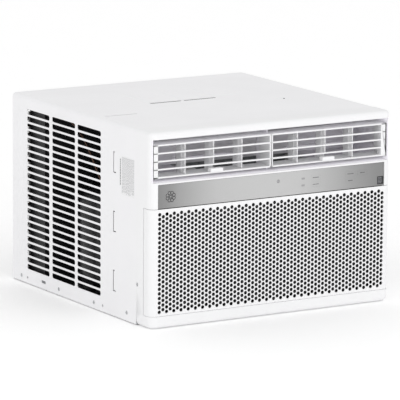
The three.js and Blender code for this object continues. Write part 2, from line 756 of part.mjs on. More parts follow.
// A ribbed bush in the bezel's side, with an empty bore for a cord.
function cordGland() {
  const { y, z, radius, neck, bore, inner } = GLAND;
  const wallFace = HALF - BEZEL.wall;
  const flange = rod('x', y, z, radius, inner, wallFace - GAP, 20);
  const body = flange.add(rod('x', y, z, neck, wallFace - OVER, HALF - 0.2, 20));
  return body.subtract(rod('x', y, z, bore, inner - OVER, HALF + OVER, 16));
}

place('cord_gland', rubber(), cordGland(), [HALF, GLAND.y, GLAND.z]);

// ---------------------------------------------------------------- indoor side: coil, blower, controls

const EVAPORATOR = { left: -222, right: 204, front: -243, back: -205, bottom: 20, top: 226, bends: 12 };
const SCROLL = {
  half: 146,
  front: -199,
  back: -106.5,
  bottom: 28,
  top: 280,
  wall: 4,
  inlet: 78,
  radius: 105,
  widening: 28,
};
const HAIRPIN = { half: 3.4, share: 0.36 }; // half thickness, and half height as a share of the row pitch
const WHEEL = {
  radius: 92,
  inner: 72,
  front: -189,
  back: -118,
  disc: 2.5,
  rim: 4,
  hub: 14,
  hubLength: 24,
  blades: 20,
  bladeHalf: 0.8,
};

// A finned block with the hairpin bends of its tube rows standing out of both ends.
function coil({ left, right, front, back, bottom, top, bends }, rows, columns) {
  const parts = [block([left, right], [front, back], [bottom, top])];
  const rise = (top - bottom) / rows;
  const stride = (back - front) / columns;
  const reach = bends - 2;
  const tall = rise * HAIRPIN.share;
  for (let row = 0; row < rows; row += 1) {
    for (let column = 0; column < columns; column += 1) {
      const y = front + (column + 0.5) * stride;
      const z = bottom + (row + 0.5) * rise;
      const depth = [y - HAIRPIN.half, y + HAIRPIN.half];
      parts.push(block([left - reach, right + reach], depth, [z - tall, z + tall]));
    }
  }
  return unite(parts);
}

place('evaporator_coil', aluminium(), coil(EVAPORATOR, 6, 2), [0, EVAPORATOR.front, EVAPORATOR.bottom]);

// A block of foam hollowed out to a spiral that widens towards the outlet on top.
function blowerScroll() {
  const { half, front, back, bottom, top, wall, inlet, radius, widening } = SCROLL;
  const body = block([-half, half], [front, back], [bottom, top]);
  const steps = 14;
  const spiral = Array.from({ length: steps + 1 }, (_, i) => {
    const angle = Math.PI * (1 + i / steps);
    const reach = radius + (i / steps) * widening;
    return [SHAFT.x + reach * Math.cos(angle), SHAFT.z + reach * Math.sin(angle)];
  });
  const chimney = [[SHAFT.x + radius + widening, top + OVER], [SHAFT.x - radius, top + OVER]];
  const cavity = push([...spiral, ...chimney], 'y', front + wall, back + OVER);
  const inletHole = rod('y', SHAFT.x, SHAFT.z, inlet, front - OVER, front + wall + OVER, 32);
  return cut(body, [cavity, inletHole]);
}

place('blower_scroll', foam(), blowerScroll(), [SHAFT.x, SCROLL.front, SHAFT.z]);

function blowerWheel() {
  const { radius, inner, front, back, disc, rim, hub, hubLength, blades, bladeHalf } = WHEEL;
  const { x, z } = SHAFT;
  const bore = SHAFT.radius + GAP;
  const parts = [
    rod('y', x, z, radius, back - disc, back, 40),
    ring('y', x, z, radius, inner, front, front + rim, 40),
    ring('y', x, z, hub, bore, back - hubLength, back, 20),
  ];
  for (let i = 0; i < blades; i += 1) {
    const blade = block([inner + 1, radius - 1], [front + 1, back - 1], [-bladeHalf, bladeHalf]);
    parts.push(blade.rotate([0, (i * 360) / blades, 0]).translate([x, 0, z]));
  }
  return unite(parts).subtract(rod('y', x, z, bore, front, back + OVER, 20));
}

place('blower_wheel', darkPlastic(), blowerWheel(), [SHAFT.x, WHEEL.back, SHAFT.z]);

function bulkhead() {
  const { front, thickness, half } = BULKHEAD;
  const through = [front - OVER, front + thickness + OVER];
  const wall = block([-half, half], [front, front + thickness], [BASE.sheet + GAP, OUTLET.top]);
  const shaftHole = rod('y', SHAFT.x, SHAFT.z, 12, ...through, 20);
  const pipeNotch = block([-266, -236], through, [180, 240]);
  const wireHole = rod('y', 214, 150, 8, ...through, 16);
  return cut(wall, [shaftHole, pipeNotch, wireHole]);
}

place('bulkhead', galvanised(), bulkhead(), [0, BULKHEAD.front, 0]);

const CONTROL_BOX = { left: 156, right: 256, front: -198, back: -112, bottom: 60, top: 258, sheet: 1.5 };

function controlBox() {
  const { left, right, front, back, bottom, top, sheet } = CONTROL_BOX;
  const body = block([left, right], [front, back], [bottom, top]);
  const inner = back - sheet;
  const hollow = block([left + sheet, right - sheet], [front - OVER, inner], [bottom + sheet, top - sheet]);
  const shelf = block([left + 8, right - 8], [back - 14, inner + 0.5], [130, 136]);
  return body.subtract(hollow).add(shelf);
}

place('control_box', galvanised(), controlBox(),
  [CONTROL_BOX.left, CONTROL_BOX.back, CONTROL_BOX.bottom]);

const CAPACITOR = { x: 206, y: -155, radius: 24, bottom: 62, top: 150 };

function runCapacitor() {
  const { x, y, radius, bottom, top } = CAPACITOR;
  const can = rod('z', x, y, radius, bottom, top, 24);
  const seam = rod('z', x, y, radius + 1, top - 4, top, 24);
  const tabs = [x - 8, x + 8].map((middle) => (
    block([middle - 3, middle + 3], [y - 0.5, y + 0.5], [top - OVER, top + 9])));
  return unite([can, seam, ...tabs]);
}

place('run_capacitor', aluminium(), runCapacitor(), [CAPACITOR.x, CAPACITOR.y, CAPACITOR.bottom]);

// ---------------------------------------------------------------- drive: motor, shaft, condenser fan

const MOTOR = {
  front: 8,
  back: 112,
  radius: 56,
  cap: 44,
  boss: 20,
  bossLength: 5,
  bore: SHAFT.radius + GAP,
};
const FAN = {
  hub: 34,
  hubHalf: 12,
  blade: 146,
  ringInner: 147,
  ringOuter: 152,
  front: 172,
  back: 206,
  blades: 5,
  pitch: 24,
  bladeHalf: 1.2,
};
const SHROUD = {
  front: 160,
  plate: 3,
  orifice: 157,
  collar: 159,
  ringBack: 200,
  back: 221.4,
  half: 262,
  bottom: 2.2,
  top: 358,
};
const CONDENSER = { left: -246, right: 246, front: 222, back: 262, bottom: 20, top: 342, bends: 12 };

function motorShaft() {
  return rod('y', SHAFT.x, SHAFT.z, SHAFT.radius, WHEEL.back - 26, FAN.back - 4, 20);
}

place('motor_shaft', brightSteel(), motorShaft(), [SHAFT.x, WHEEL.back, SHAFT.z]);

function fanMotor() {
  const { front, back, radius, cap, boss, bossLength, bore } = MOTOR;
  const { x, z } = SHAFT;
  const body = unite([
    rod('y', x, z, radius, front + 8, back - 8, 32),
    rod('y', x, z, cap, front, back, 24),
    rod('y', x, z, boss, front - bossLength, back + bossLength, 16),
  ]);
  return body.subtract(rod('y', x, z, bore, front - bossLength - OVER, back + bossLength + OVER, 20));
}

place('fan_motor', darkPaint(), fanMotor(), [SHAFT.x, MOTOR.front, SHAFT.z]);

function motorBracket() {
  const cradle = block([-62, 62], [40, 80], [4.5, SHAFT.z - 20]);
  const window = block([-40, 40], [36, 84], [30, 84]);
  const foot = block([-80, 80], [30, 92], [4, 7]);
  const seat = rod('y', SHAFT.x, SHAFT.z, MOTOR.radius + GAP, 20, 100, 36);
  return cradle.subtract(window).add(foot).subtract(seat);
}

place('motor_bracket', galvanised(), motorBracket(), [0, 40, 4]);

function fanBlade() {
  const { hub, blade, pitch, bladeHalf } = FAN;
  const root = hub - 6;
  const tip = blade + 3;
  const outline = [[root, -20], [90, -40], [tip, -44], [tip, 30], [100, 34], [root, 20]];
  return push(outline, 'y', -bladeHalf, bladeHalf).rotate([pitch, 0, 0]);
}

function condenserFan() {
  const { hub, hubHalf, ringInner, ringOuter, front, back, blades } = FAN;
  const { x, z } = SHAFT;
  const middle = (front + back) / 2;
  const parts = [
    rod('y', x, z, hub, middle - hubHalf, middle + hubHalf, 28),
    ring('y', x, z, ringOuter, ringInner, back - 10, back - 2, 48),
  ];
  for (let i = 0; i < blades; i += 1) {
    parts.push(fanBlade().rotate([0, (i * 360) / blades, 0]).translate([x, middle, z]));
  }
  const reach = rod('y', x, z, ringOuter, front, back, 48);
  const bore = rod('y', x, z, SHAFT.radius + GAP, front - OVER, back + OVER, 20);
  return unite(parts).intersect(reach).subtract(bore);
}

place('condenser_fan', darkPlastic(), condenserFan(), [SHAFT.x, (FAN.front + FAN.back) / 2, SHAFT.z]);

// A box open towards the coil, with a collar round the fan.
function condenserShroud() {
  const { front, plate, orifice, collar, ringBack, back, half, bottom, top } = SHROUD;
  const { x, z } = SHAFT;
  const box = block([-half, half], [front, back], [bottom, top]);
  const inner = half - plate;
  const hollow = block([-inner, inner], [front + plate, back + OVER], [bottom + plate, top - plate]);
  const bore = rod('y', x, z, orifice, front - OVER, ringBack + OVER, 48);
  return box.subtract(hollow).add(rod('y', x, z, collar, front, ringBack, 48)).subtract(bore);
}

place('condenser_shroud', darkPlastic(), condenserShroud(), [0, SHROUD.front, SHROUD.bottom]);
place('condenser_coil', aluminium(), coil(CONDENSER, 9, 2), [0, CONDENSER.front, CONDENSER.bottom]);

// ---------------------------------------------------------------- refrigerant circuit

const COMPRESSOR = {
  x: -178,
  y: 42,
  radius: 62,
  bottom: 24,
  height: 196,
  dome: 34,
  edge: 16,
  feet: 84,
  grommet: 11,
};
const ACCUMULATOR = { x: -178, y: -58, radius: 21, neck: 8, shoulder: 12, bottom: 60, top: 186 };

// Half of the can's outline, from the middle of its bottom to the middle of its top.
function canProfile() {
  const { radius, height, dome, edge } = COMPRESSOR;
  const steps = 4;
  const quarter = (i) => (i / steps) * (Math.PI / 2);
  const profile = [[0, 0], [radius - edge, 0]];
  for (let i = 0; i <= steps; i += 1) {
    profile.push([radius - edge + edge * Math.sin(quarter(i)), edge - edge * Math.cos(quarter(i))]);
  }
  for (let i = 0; i < steps; i += 1) {
    profile.push([radius * Math.cos(quarter(i)), height - dome + dome * Math.sin(quarter(i))]);
  }
  return [...profile, [0, height]];
}

// An arm of the foot plate that ends in an eye over a grommet.
function footArm([px, py]) {
  const { x, y, bottom } = COMPRESSOR;
  const length = Math.hypot(px - x, py - y);
  const turn = (Math.atan2(py - y, px - x) * 180) / Math.PI;
  const heights = [bottom + 2, bottom + 5];
  const arm = block([0, length], [-9, 9], heights).add(rod('z', length, 0, 13, ...heights));
  return arm.rotate([0, 0, turn]).translate([x, y, 0]);
}

function compressor() {
  const { x, y, bottom, height } = COMPRESSOR;
  const can = turned(canProfile(), 24).translate([x, y, bottom]);
  const holes = grommetPlaces().map(([px, py]) => rod('z', px, py, 7, bottom, bottom + 8));
  const stub = rod('z', x, y, 6, bottom + height - 3, bottom + height + 10, 12);
  return cut(unite([can, stub, ...grommetPlaces().map(footArm)]), holes);
}

function grommetPlaces() {
  const { x, y, feet } = COMPRESSOR;
  return [90, 210, 330].map((degrees) => {
    const angle = (degrees * Math.PI) / 180;
    return [x + feet * Math.cos(angle), y + feet * Math.sin(angle)];
  });
}

place('compressor', darkPaint(), compressor(), [COMPRESSOR.x, COMPRESSOR.y, COMPRESSOR.bottom]);

grommetPlaces().forEach(([x, y], index) => {
  const { bottom, grommet } = COMPRESSOR;
  const rest = 4 + GAP;
  const body = unite([
    rod('z', x, y, grommet, rest, bottom + 1.7, 16),
    rod('z', x, y, 6.5, bottom + 1, bottom + 6, 16),
    rod('z', x, y, grommet - 1, bottom + 5.3, bottom + 9, 16),
  ]);
  place(`compressor_grommet_${index + 1}`, rubber(), body, [x, y, rest]);
});

function accumulator() {
  const { x, y, radius, neck, shoulder, bottom, top } = ACCUMULATOR;
  const height = top - bottom;
  const lower = [[0, 0], [neck, 0], [radius, shoulder]];
  const profile = [...lower, [radius, height - shoulder], [neck, height], [0, height]];
  return turned(profile, 20).translate([x, y, bottom]);
}

place('accumulator', copper(), accumulator(), [ACCUMULATOR.x, ACCUMULATOR.y, ACCUMULATOR.bottom]);

const PIPES = {
  discharge_tube: {
    radius: 4,
    steps: 26,
    points: [
      [COMPRESSOR.x, COMPRESSOR.y, COMPRESSOR.bottom + COMPRESSOR.height + 10.4],
      [COMPRESSOR.x, COMPRESSOR.y, 290],
      [-192, 90, 352],
      [-218, 180, 369],
      [-234, 228, 367],
      [-236, 242, 356],
      [-236, 242, CONDENSER.top + GAP],
    ],
  },
  suction_tube: {
    radius: 5,
    steps: 24,
    points: [
      [EVAPORATOR.left - 12.5, -214.5, 206],
      [-250, -206, 206],
      [-252, -180, 207],
      [-252, -110, 208],
      [-238, -72, 216],
      [-192, -59, 216],
      [ACCUMULATOR.x, ACCUMULATOR.y, 206],
      [ACCUMULATOR.x, ACCUMULATOR.y, ACCUMULATOR.top + GAP],
    ],
  },
  capillary_tube: {
    radius: 1.6,
    steps: 28,
    points: [
      [-240, 252, CONDENSER.top + GAP],
      [-240, 252, 356],
      [-251, 236, 367],
      [-262, 150, 368],
      [-263, 20, 340],
      [-262, -80, 240],
      [-262, -108, 226],
      [-262, -190, 180],
      [-250, -232, 176],
      [EVAPORATOR.left - 10.4, -234, 176],
    ],
  },
};

for (const [name, { radius, steps, points }] of Object.entries(PIPES)) {
  place(name, copper(), tube(points, radius, steps), points[0]);
}

export default assembly;
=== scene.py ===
"""Looks of the window air conditioner, built round its CAD frame. Metres, +Z up, the front faces -Y."""

import math
import random

import bmesh
import bpy
from mathutils import Matrix, Vector
from mathutils.geometry import delaunay_2d_cdt


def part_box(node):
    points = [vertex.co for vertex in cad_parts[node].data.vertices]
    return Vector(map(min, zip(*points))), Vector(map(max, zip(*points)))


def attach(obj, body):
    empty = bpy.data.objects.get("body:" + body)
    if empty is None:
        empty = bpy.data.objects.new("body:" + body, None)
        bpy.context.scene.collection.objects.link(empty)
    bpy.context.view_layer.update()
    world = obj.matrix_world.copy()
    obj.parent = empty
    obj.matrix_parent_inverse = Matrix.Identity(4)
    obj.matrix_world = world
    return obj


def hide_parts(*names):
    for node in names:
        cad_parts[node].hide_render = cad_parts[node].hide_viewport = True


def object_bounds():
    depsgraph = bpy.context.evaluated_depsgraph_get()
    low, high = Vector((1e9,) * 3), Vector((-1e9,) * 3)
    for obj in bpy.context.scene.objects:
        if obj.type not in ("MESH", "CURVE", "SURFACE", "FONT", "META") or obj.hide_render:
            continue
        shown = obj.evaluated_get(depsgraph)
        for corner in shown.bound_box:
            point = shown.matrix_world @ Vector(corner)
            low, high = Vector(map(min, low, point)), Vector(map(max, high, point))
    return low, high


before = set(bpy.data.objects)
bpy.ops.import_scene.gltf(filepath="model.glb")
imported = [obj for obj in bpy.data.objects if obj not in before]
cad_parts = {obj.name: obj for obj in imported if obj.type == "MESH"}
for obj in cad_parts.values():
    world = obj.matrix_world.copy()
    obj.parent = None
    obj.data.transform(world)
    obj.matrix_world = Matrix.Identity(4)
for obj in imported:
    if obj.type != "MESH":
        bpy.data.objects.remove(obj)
CAD_LOW, CAD_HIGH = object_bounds()

MM = 0.001


def mm(*values):
    """Lengths in millimetres as metres."""
    return tuple(value * MM for value in values)


HALF = CAD_HIGH.x  # half the width
FRONT = CAD_LOW.y
BACK = CAD_HIGH.y
TOP = CAD_HIGH.z
SHELL_LOW, SHELL_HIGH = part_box("cabinet_shell")
GRILLE_LOW, GRILLE_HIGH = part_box("front_grille")
BEZEL_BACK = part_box("front_bezel")[1].y
FASCIA_LOW, FASCIA_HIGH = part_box("control_fascia")


# ------------------------------------------------------------------ materials

class Nodes:
    """A small helper that adds nodes to one material and wires them up."""

    def __init__(self, name):
        self.material = bpy.data.materials.new(name)
        self.material.use_nodes = True
        self.tree = self.material.node_tree
        self.shader = self.tree.nodes["Principled BSDF"]
        self.place = self.tree.nodes.new("ShaderNodeTexCoord").outputs["Object"]

    def add(self, kind, **settings):
        node = self.tree.nodes.new("ShaderNode" + kind)
        for key, value in settings.items():
            setattr(node, key, value)
        return node

    def link(self, source, target):
        self.tree.links.new(source, target)

    def set(self, **values):
        for key, value in values.items():
            self.shader.inputs[key.replace("_", " ")].default_value = value

    def noise(self, scale, detail=3.0, stretch=(1, 1, 1)):
        mapping = self.add("Mapping")
        mapping.inputs["Scale"].default_value = stretch
        texture = self.add("TexNoise")
        texture.inputs["Scale"].default_value = scale
        texture.inputs["Detail"].default_value = detail
        self.link(self.place, mapping.inputs["Vector"])
        self.link(mapping.outputs["Vector"], texture.inputs["Vector"])
        return texture.outputs["Fac"]

    def ramp(self, source, stops, interpolation="LINEAR"):
        ramp = self.add("ValToRGB")
        ramp.color_ramp.interpolation = interpolation
        elements = ramp.color_ramp.elements
        while len(elements) < len(stops):
            elements.new(0.5)
        for element, (position, color) in zip(elements, stops):
            element.position = position
            element.color = (*color, 1.0) if isinstance(color, tuple) else (color, color, color, 1.0)
        self.link(source, ramp.inputs["Fac"])
        return ramp.outputs["Color"]

    def mix(self, factor, first, second, blend="MIX"):
        node = self.add("Mix", data_type="RGBA", blend_type=blend)
        for socket, value in zip((node.inputs[0], node.inputs[6], node.inputs[7]), (factor, first, second)):
            if isinstance(value, (int, float)):
                socket.default_value = value
            elif isinstance(value, tuple):
                socket.default_value = (*value, 1.0)
            else:
                self.link(value, socket)
        return node.outputs[2]

    def color(self, source):
        self.link(source, self.shader.inputs["Base Color"])

    def roughness(self, source, low, high):
        spread = self.add("MapRange")
        spread.inputs["To Min"].default_value = low
        spread.inputs["To Max"].default_value = high
        self.link(source, spread.inputs["Value"])
        self.link(spread.outputs["Result"], self.shader.inputs["Roughness"])

    def bump(self, height, distance, strength=1.0):
        node = self.add("Bump")
        node.inputs["Distance"].default_value = distance
        node.inputs["Strength"].default_value = strength
        self.link(height, node.inputs["Height"])
        if self.shader.inputs["Normal"].is_linked:
            before = self.shader.inputs["Normal"].links[0].from_socket
            self.link(before, node.inputs["Normal"])
        self.link(node.outputs["Normal"], self.shader.inputs["Normal"])


def tinted(base, amount):
    """Two close shades of one colour, for a slow variation over the surface."""
    darker = tuple(channel * (1 - amount) for channel in base)
    lighter = tuple(min(1.0, channel * (1 + amount)) for channel in base)
    return darker, lighter


def surface(name, base, shade, grain, depth, rough, metallic=0.0, slow=9.0, stretch=(1, 1, 1), **values):
    """The common build: slow colour drift, a fine grain in roughness and relief."""
    nodes = Nodes(name)
    darker, lighter = tinted(base, shade)
    nodes.color(nodes.ramp(nodes.noise(slow, 4.0), [(0.3, darker), (0.7, lighter)]))
    fine = nodes.noise(grain, 2.0, stretch)
    nodes.roughness(fine, *rough)
    nodes.bump(fine, depth)
    nodes.set(Metallic=metallic, **values)
    return nodes


def galvanised():
    """Zinc spangle: flat crystals of slightly different grey."""
    nodes = Nodes("galvanised_steel")
    crystals = nodes.add("TexVoronoi")
    crystals.inputs["Scale"].default_value = 90.0
    nodes.link(nodes.place, crystals.inputs["Vector"])
    greys = [(0.1, (0.22, 0.23, 0.24)), (0.9, (0.36, 0.37, 0.38))]
    nodes.color(nodes.ramp(crystals.outputs["Color"], greys))
    nodes.roughness(nodes.noise(260.0), 0.34, 0.5)
    nodes.bump(nodes.noise(500.0), 0.00004)
    nodes.set(Metallic=0.85)
    return nodes


def silver_paint():
    """Metallic paint of the control strip, with a painted reflection: lighter in the middle and darker
    towards both ends.
    """
    nodes = Nodes("silver_paint")
    split = nodes.add("SeparateXYZ")
    nodes.link(nodes.place, split.inputs["Vector"])
    along = nodes.add("MapRange")
    along.inputs["From Min"].default_value = FASCIA_LOW.x
    along.inputs["From Max"].default_value = FASCIA_HIGH.x
    nodes.link(split.outputs["X"], along.inputs["Value"])
    # painted reflection: the strip is darker towards both ends and lighter in the middle
    stops = [(0.0, 0.2), (0.09, 0.3), (0.25, 0.5), (0.62, 0.53), (0.8, 0.36), (0.93, 0.24), (1.0, 0.21)]
    painted_sheen = nodes.ramp(along.outputs["Result"], stops, "B_SPLINE")
    flakes = nodes.ramp(nodes.noise(2600.0, 1.0), [(0.35, 0.94), (0.65, 1.0)])
    nodes.color(nodes.mix(1.0, painted_sheen, flakes, "MULTIPLY"))
    nodes.roughness(nodes.noise(1500.0), 0.3, 0.42)
    nodes.bump(nodes.noise(1800.0), 0.00001)
    nodes.set(Metallic=0.15, Coat_Weight=0.25)
    return nodes


def filter_screen():
    """Woven screen: fine threads crossing in relief, near-black, partly from the dark thread and partly as
    painted shade behind the grille holes.
    """
    nodes = Nodes("filter_screen")
    nodes.set(Roughness=0.8)
    threads = [nodes.add("TexWave", bands_direction=direction) for direction in ("X", "Z")]
    for thread in threads:
        thread.inputs["Scale"].default_value = 170.0
        nodes.link(nodes.place, thread.inputs["Vector"])
    weave = nodes.mix(0.5, threads[0].outputs["Color"], threads[1].outputs["Color"])
    # near-black: partly the screen's own dark thread, partly painted shade behind the grille holes
    nodes.color(nodes.ramp(weave, [(0.25, (0.003, 0.003, 0.004)), (0.9, (0.022, 0.023, 0.026))]))
    nodes.bump(weave, 0.0003)
    return nodes


def foam_beads():
    """Expanded beads pressed together."""
    nodes = Nodes("foam_beads")
    beads = nodes.add("TexVoronoi", feature="DISTANCE_TO_EDGE")
    beads.inputs["Scale"].default_value = 320.0
    nodes.link(nodes.place, beads.inputs["Vector"])
    nodes.color(nodes.ramp(beads.outputs["Distance"], [(0.0, (0.5, 0.5, 0.48)), (0.12, (0.72, 0.72, 0.7))]))
    nodes.bump(beads.outputs["Distance"], 0.0006)
    nodes.set(Roughness=0.85)
    return nodes


# For each finish: colour, colour drift, scale and depth of the grain, and range of roughness. Metals add
# how metallic they are and the scale of the drift.
FINISHES = {
    "white_plastic": ((0.825, 0.825, 0.833), 0.012, 1400.0, 0.00002, (0.36, 0.46)),
    "white_steel": ((0.83, 0.827, 0.84), 0.015, 520.0, 0.00005, (0.3, 0.42)),
    # painted shade: near-black for the inward faces of the cabinet
    "inner_steel_painted_shade": ((0.03, 0.03, 0.032), 0.08, 420.0, 0.00005, (0.5, 0.65)),
    "grey_plastic": ((0.66, 0.64, 0.69), 0.03, 1200.0, 0.00002, (0.45, 0.6)),
    "duct_lining": ((0.92, 0.9, 0.945), 0.02, 1200.0, 0.00002, (0.45, 0.6)),
    "dark_plastic": ((0.012, 0.012, 0.014), 0.15, 1100.0, 0.00003, (0.4, 0.55)),
    "print_ink": ((0.035, 0.035, 0.04), 0.1, 1500.0, 0.00001, (0.5, 0.6)),
    "pale_ink": ((0.3, 0.3, 0.32), 0.05, 1500.0, 0.00001, (0.5, 0.6)),
    "dark_enamel": ((0.012, 0.012, 0.014), 0.2, 300.0, 0.00008, (0.28, 0.42)),
    "aluminium": ((0.5, 0.51, 0.53), 0.06, 700.0, 0.00004, (0.3, 0.5), 0.95, 25.0),
    "copper": ((0.52, 0.22, 0.1), 0.18, 380.0, 0.00003, (0.2, 0.42), 0.95, 40.0),
    "aged_copper": ((0.09, 0.045, 0.028), 0.3, 380.0, 0.00003, (0.35, 0.55), 0.6, 40.0),
    "bright_steel": ((0.55, 0.56, 0.57), 0.05, 900.0, 0.00002, (0.2, 0.35), 0.95, 60.0),
    "rubber": ((0.014, 0.014, 0.015), 0.2, 900.0, 0.00006, (0.7, 0.85)),
    "circuit_board": ((0.02, 0.11, 0.05), 0.2, 600.0, 0.00005, (0.35, 0.5)),
    "emblem_ink": ((0.015, 0.015, 0.017), 0.2, 900.0, 0.00002, (0.35, 0.5)),
    "label_film": ((0.8, 0.8, 0.808), 0.01, 1200.0, 0.00001, (0.45, 0.55)),
    "faint_ink": ((0.24, 0.24, 0.25), 0.05, 1500.0, 0.00001, (0.5, 0.6)),
}
MATERIALS = {name: surface(name, *values) for name, values in FINISHES.items()}
MATERIALS["smoked_lens"] = surface("smoked_lens", (0.33, 0.33, 0.335), 0.1, 900.0, 0.000005, (0.12, 0.2),
                                   Coat_Weight=0.5)
MATERIALS["studio_floor"] = surface("studio_floor", (0.97, 0.97, 0.97), 0.004, 30.0, 0.0001, (0.7, 0.8),
                                    Emission_Color=(1.0, 1.0, 1.0, 1.0), Emission_Strength=0.1)
MATERIALS.update(silver_paint=silver_paint(), galvanised_steel=galvanised(), filter_screen=filter_screen(),
                 foam_beads=foam_beads())


def finish_of(name):
    return MATERIALS[name].material


# ------------------------------------------------------------------ mesh building

def piece_from(name, vertices, faces, finish, smooth=35.0):
    """A mesh object with consistent outward faces and sharp edges above the given angle."""
    mesh = bpy.data.meshes.new(name)
    mesh.from_pydata(vertices, [], faces)
    tidy = bmesh.new()
    tidy.from_mesh(mesh)
    bmesh.ops.remove_doubles(tidy, verts=tidy.verts, dist=1e-7)
    bmesh.ops.recalc_face_normals(tidy, faces=tidy.faces)
    tidy.to_mesh(mesh)
    tidy.free()
    mesh.polygons.foreach_set("use_smooth", [True] * len(mesh.polygons))
    mesh.set_sharp_from_angle(angle=math.radians(smooth))
    mesh.materials.append(finish_of(finish))
    piece = bpy.data.objects.new(name, mesh)
    bpy.context.scene.collection.objects.link(piece)
    return piece


def apply_modifiers(piece):
    """Bakes the piece's modifiers into its mesh."""
    graph = bpy.context.evaluated_depsgraph_get()
    result = bpy.data.meshes.new_from_object(piece.evaluated_get(graph))
    piece.modifiers.clear()
    piece.data = result
    return piece


def rounded(piece, width, segments=2, angle=40.0):
    """Rounds every edge sharper than the angle, and shades the faces evenly."""
    bevel = piece.modifiers.new("edges", "BEVEL")
    bevel.width = width
    bevel.segments = segments
    bevel.limit_method = "ANGLE"
    bevel.angle_limit = math.radians(angle)
    bevel.harden_normals = True
    return piece


def about(axis, u, v, w):
    """The point at (u, v) across an axis and w along it."""
    return {"x": (w, u, v), "y": (u, w, v), "z": (u, v, w)}[axis]


def extrusion(outline, axis, low, high):
    """Vertices and faces of an outline, which lies in the other two axes in order, pushed along an axis."""
    count = len(outline)
    vertices = [about(axis, u, v, w) for w in (low, high) for u, v in outline]
    faces = [tuple(range(count)), tuple(range(count, 2 * count))]
    faces += [(i, (i + 1) % count, count + (i + 1) % count, count + i) for i in range(count)]
    return vertices, faces


def merged(*parts):
    """Several vertex and face lists as one."""
    vertices, faces = [], []
    for more_vertices, more_faces in parts:
        start = len(vertices)
        vertices += more_vertices
        faces += [tuple(start + index for index in face) for face in more_faces]
    return vertices, faces


def arc(u, v, radius, start, end, steps):
    """Points on an arc, in degrees, both ends included."""
    angles = [math.radians(start + (end - start) * i / steps) for i in range(steps + 1)]
    return [(u + radius * math.cos(a), v + radius * math.sin(a)) for a in angles]


def circle(u, v, radius, sides=24):
    return arc(u, v, radius, 0, 360 - 360 / sides, sides - 1)


def rounded_rectangle(u0, u1, v0, v1, radius, steps=4):
    corners = [(u1, v1, 0), (u0, v1, 90), (u0, v0, 180), (u1, v0, 270)]
    points = []
    for u, v, start in corners:
        centre_u = u - radius if u == u1 else u + radius
        centre_v = v - radius if v == v1 else v + radius
        points += arc(centre_u, centre_v, radius, start, start + 90, steps)
    return points


def box_part(low, high):
    return extrusion([(low[0], low[1]), (high[0], low[1]), (high[0], high[1]), (low[0], high[1])],
                     "z", low[2], high[2])


def join_solids(piece, others, operation):
    """Exact boolean of the piece with other pieces, which are used up."""
    for other in others:
        step = piece.modifiers.new("solid", "BOOLEAN")
        step.operation = operation
        step.solver = "EXACT"
        step.object = other
        apply_modifiers(piece)
        bpy.data.objects.remove(other)
    return piece


def even_shading(piece):
    """Keeps large flat faces flat where they meet small rounds."""
    piece.modifiers.new("shading", "WEIGHTED_NORMAL").keep_sharp = True
    return piece


def cutter(vertices, faces):
    return piece_from("cutter", vertices, faces, "white_plastic")


def moulded(piece, body, slot_name, *nodes):
    """Hands a finished piece to its body and the CAD nodes that it stands for; its material slot is not
    used.
    """
    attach(piece, body)
    if nodes:
        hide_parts(*nodes)
    return piece


def inside(loop, u, v):
    """True if the point lies within the closed loop."""
    hit = False
    for (u0, v0), (u1, v1) in zip(loop, loop[1:] + loop[:1]):
        if (v0 > v) != (v1 > v) and u < (u1 - u0) * (v - v0) / (v1 - v0) + u0:
            hit = not hit
    return hit


class Sheet:
    """A flat sheet with holes, triangulated in its own plane and then put in space by a function.

    Every loop is given twice: where the face ends, and where its small round reaches the void. The first
    loop is the outside of the sheet, and the others are holes.
    """

    def __init__(self):
        self.points = []
        self.edge_points = []
        self.edges = []
        self.loops = []
        self.owner = []

    def _add(self, points, edge_points, owner):
        start = len(self.points)
        self.points += points
        self.edge_points += edge_points
        self.owner += [owner] * len(points)
        return list(range(start, start + len(points)))

    def loop(self, face_loop, edge_loop, edge_depth):
        indices = self._add(face_loop, edge_loop, len(self.loops))
        self.loops.append((indices, edge_depth))
        self.edges += list(zip(indices, indices[1:] + indices[:1]))

    def line(self, points, closed=False):
        """A line of extra points, to bend or emboss the sheet along."""
        indices = self._add(points, points, -1)
        self.edges += list(zip(indices, indices[1:]))
        if closed:
            self.edges.append((indices[-1], indices[0]))

    def _is_void(self, triangle, owner, found):
        first = owner[triangle[0]]
        if first <= 0 or any(owner[i] != first for i in triangle):
            return False
        u, v = sum((found[i] for i in triangle), Vector((0, 0))) / 3
        indices, _ = self.loops[first]
        return inside([self.points[i] for i in indices], u, v)

    def solid(self, place, thickness):
        """Vertices and faces of the sheet as a closed solid; place(u, v, depth) gives a point in space."""
        plan = [Vector(point) for point in self.points]
        found, _, triangles, origins, _, _ = delaunay_2d_cdt(plan, self.edges, [], 0, 1e-7, True)
        index_of = {old: new for new, olds in enumerate(origins) for old in olds}
        owner = [self.owner[olds[0]] if olds else -1 for olds in origins]
        face_at = [self.points[olds[0]] if olds else tuple(spot) for olds, spot in zip(origins, found)]
        edge_at = [self.edge_points[olds[0]] if olds else tuple(spot) for olds, spot in zip(origins, found)]
        kept = [tuple(t) for t in triangles if not self._is_void(t, owner, found)]
        count = len(found)
        vertices = [place(*spot, 0.0) for spot in face_at]
        vertices += [place(*spot, thickness) for spot in edge_at]
        faces = kept + [tuple(count + i for i in reversed(t)) for t in kept]
        for indices, edge_depth in self.loops:
            ring = [index_of[i] for i in indices]
            middle = len(vertices)
            vertices += [place(*self.edge_points[i], edge_depth) for i in indices]
            for step in range(len(ring)):
                following = (step + 1) % len(ring)
                a, b = ring[step], ring[following]
                faces.append((a, b, middle + following, middle + step))
                faces.append((middle + step, middle + following, count + b, count + a))
        return vertices, faces


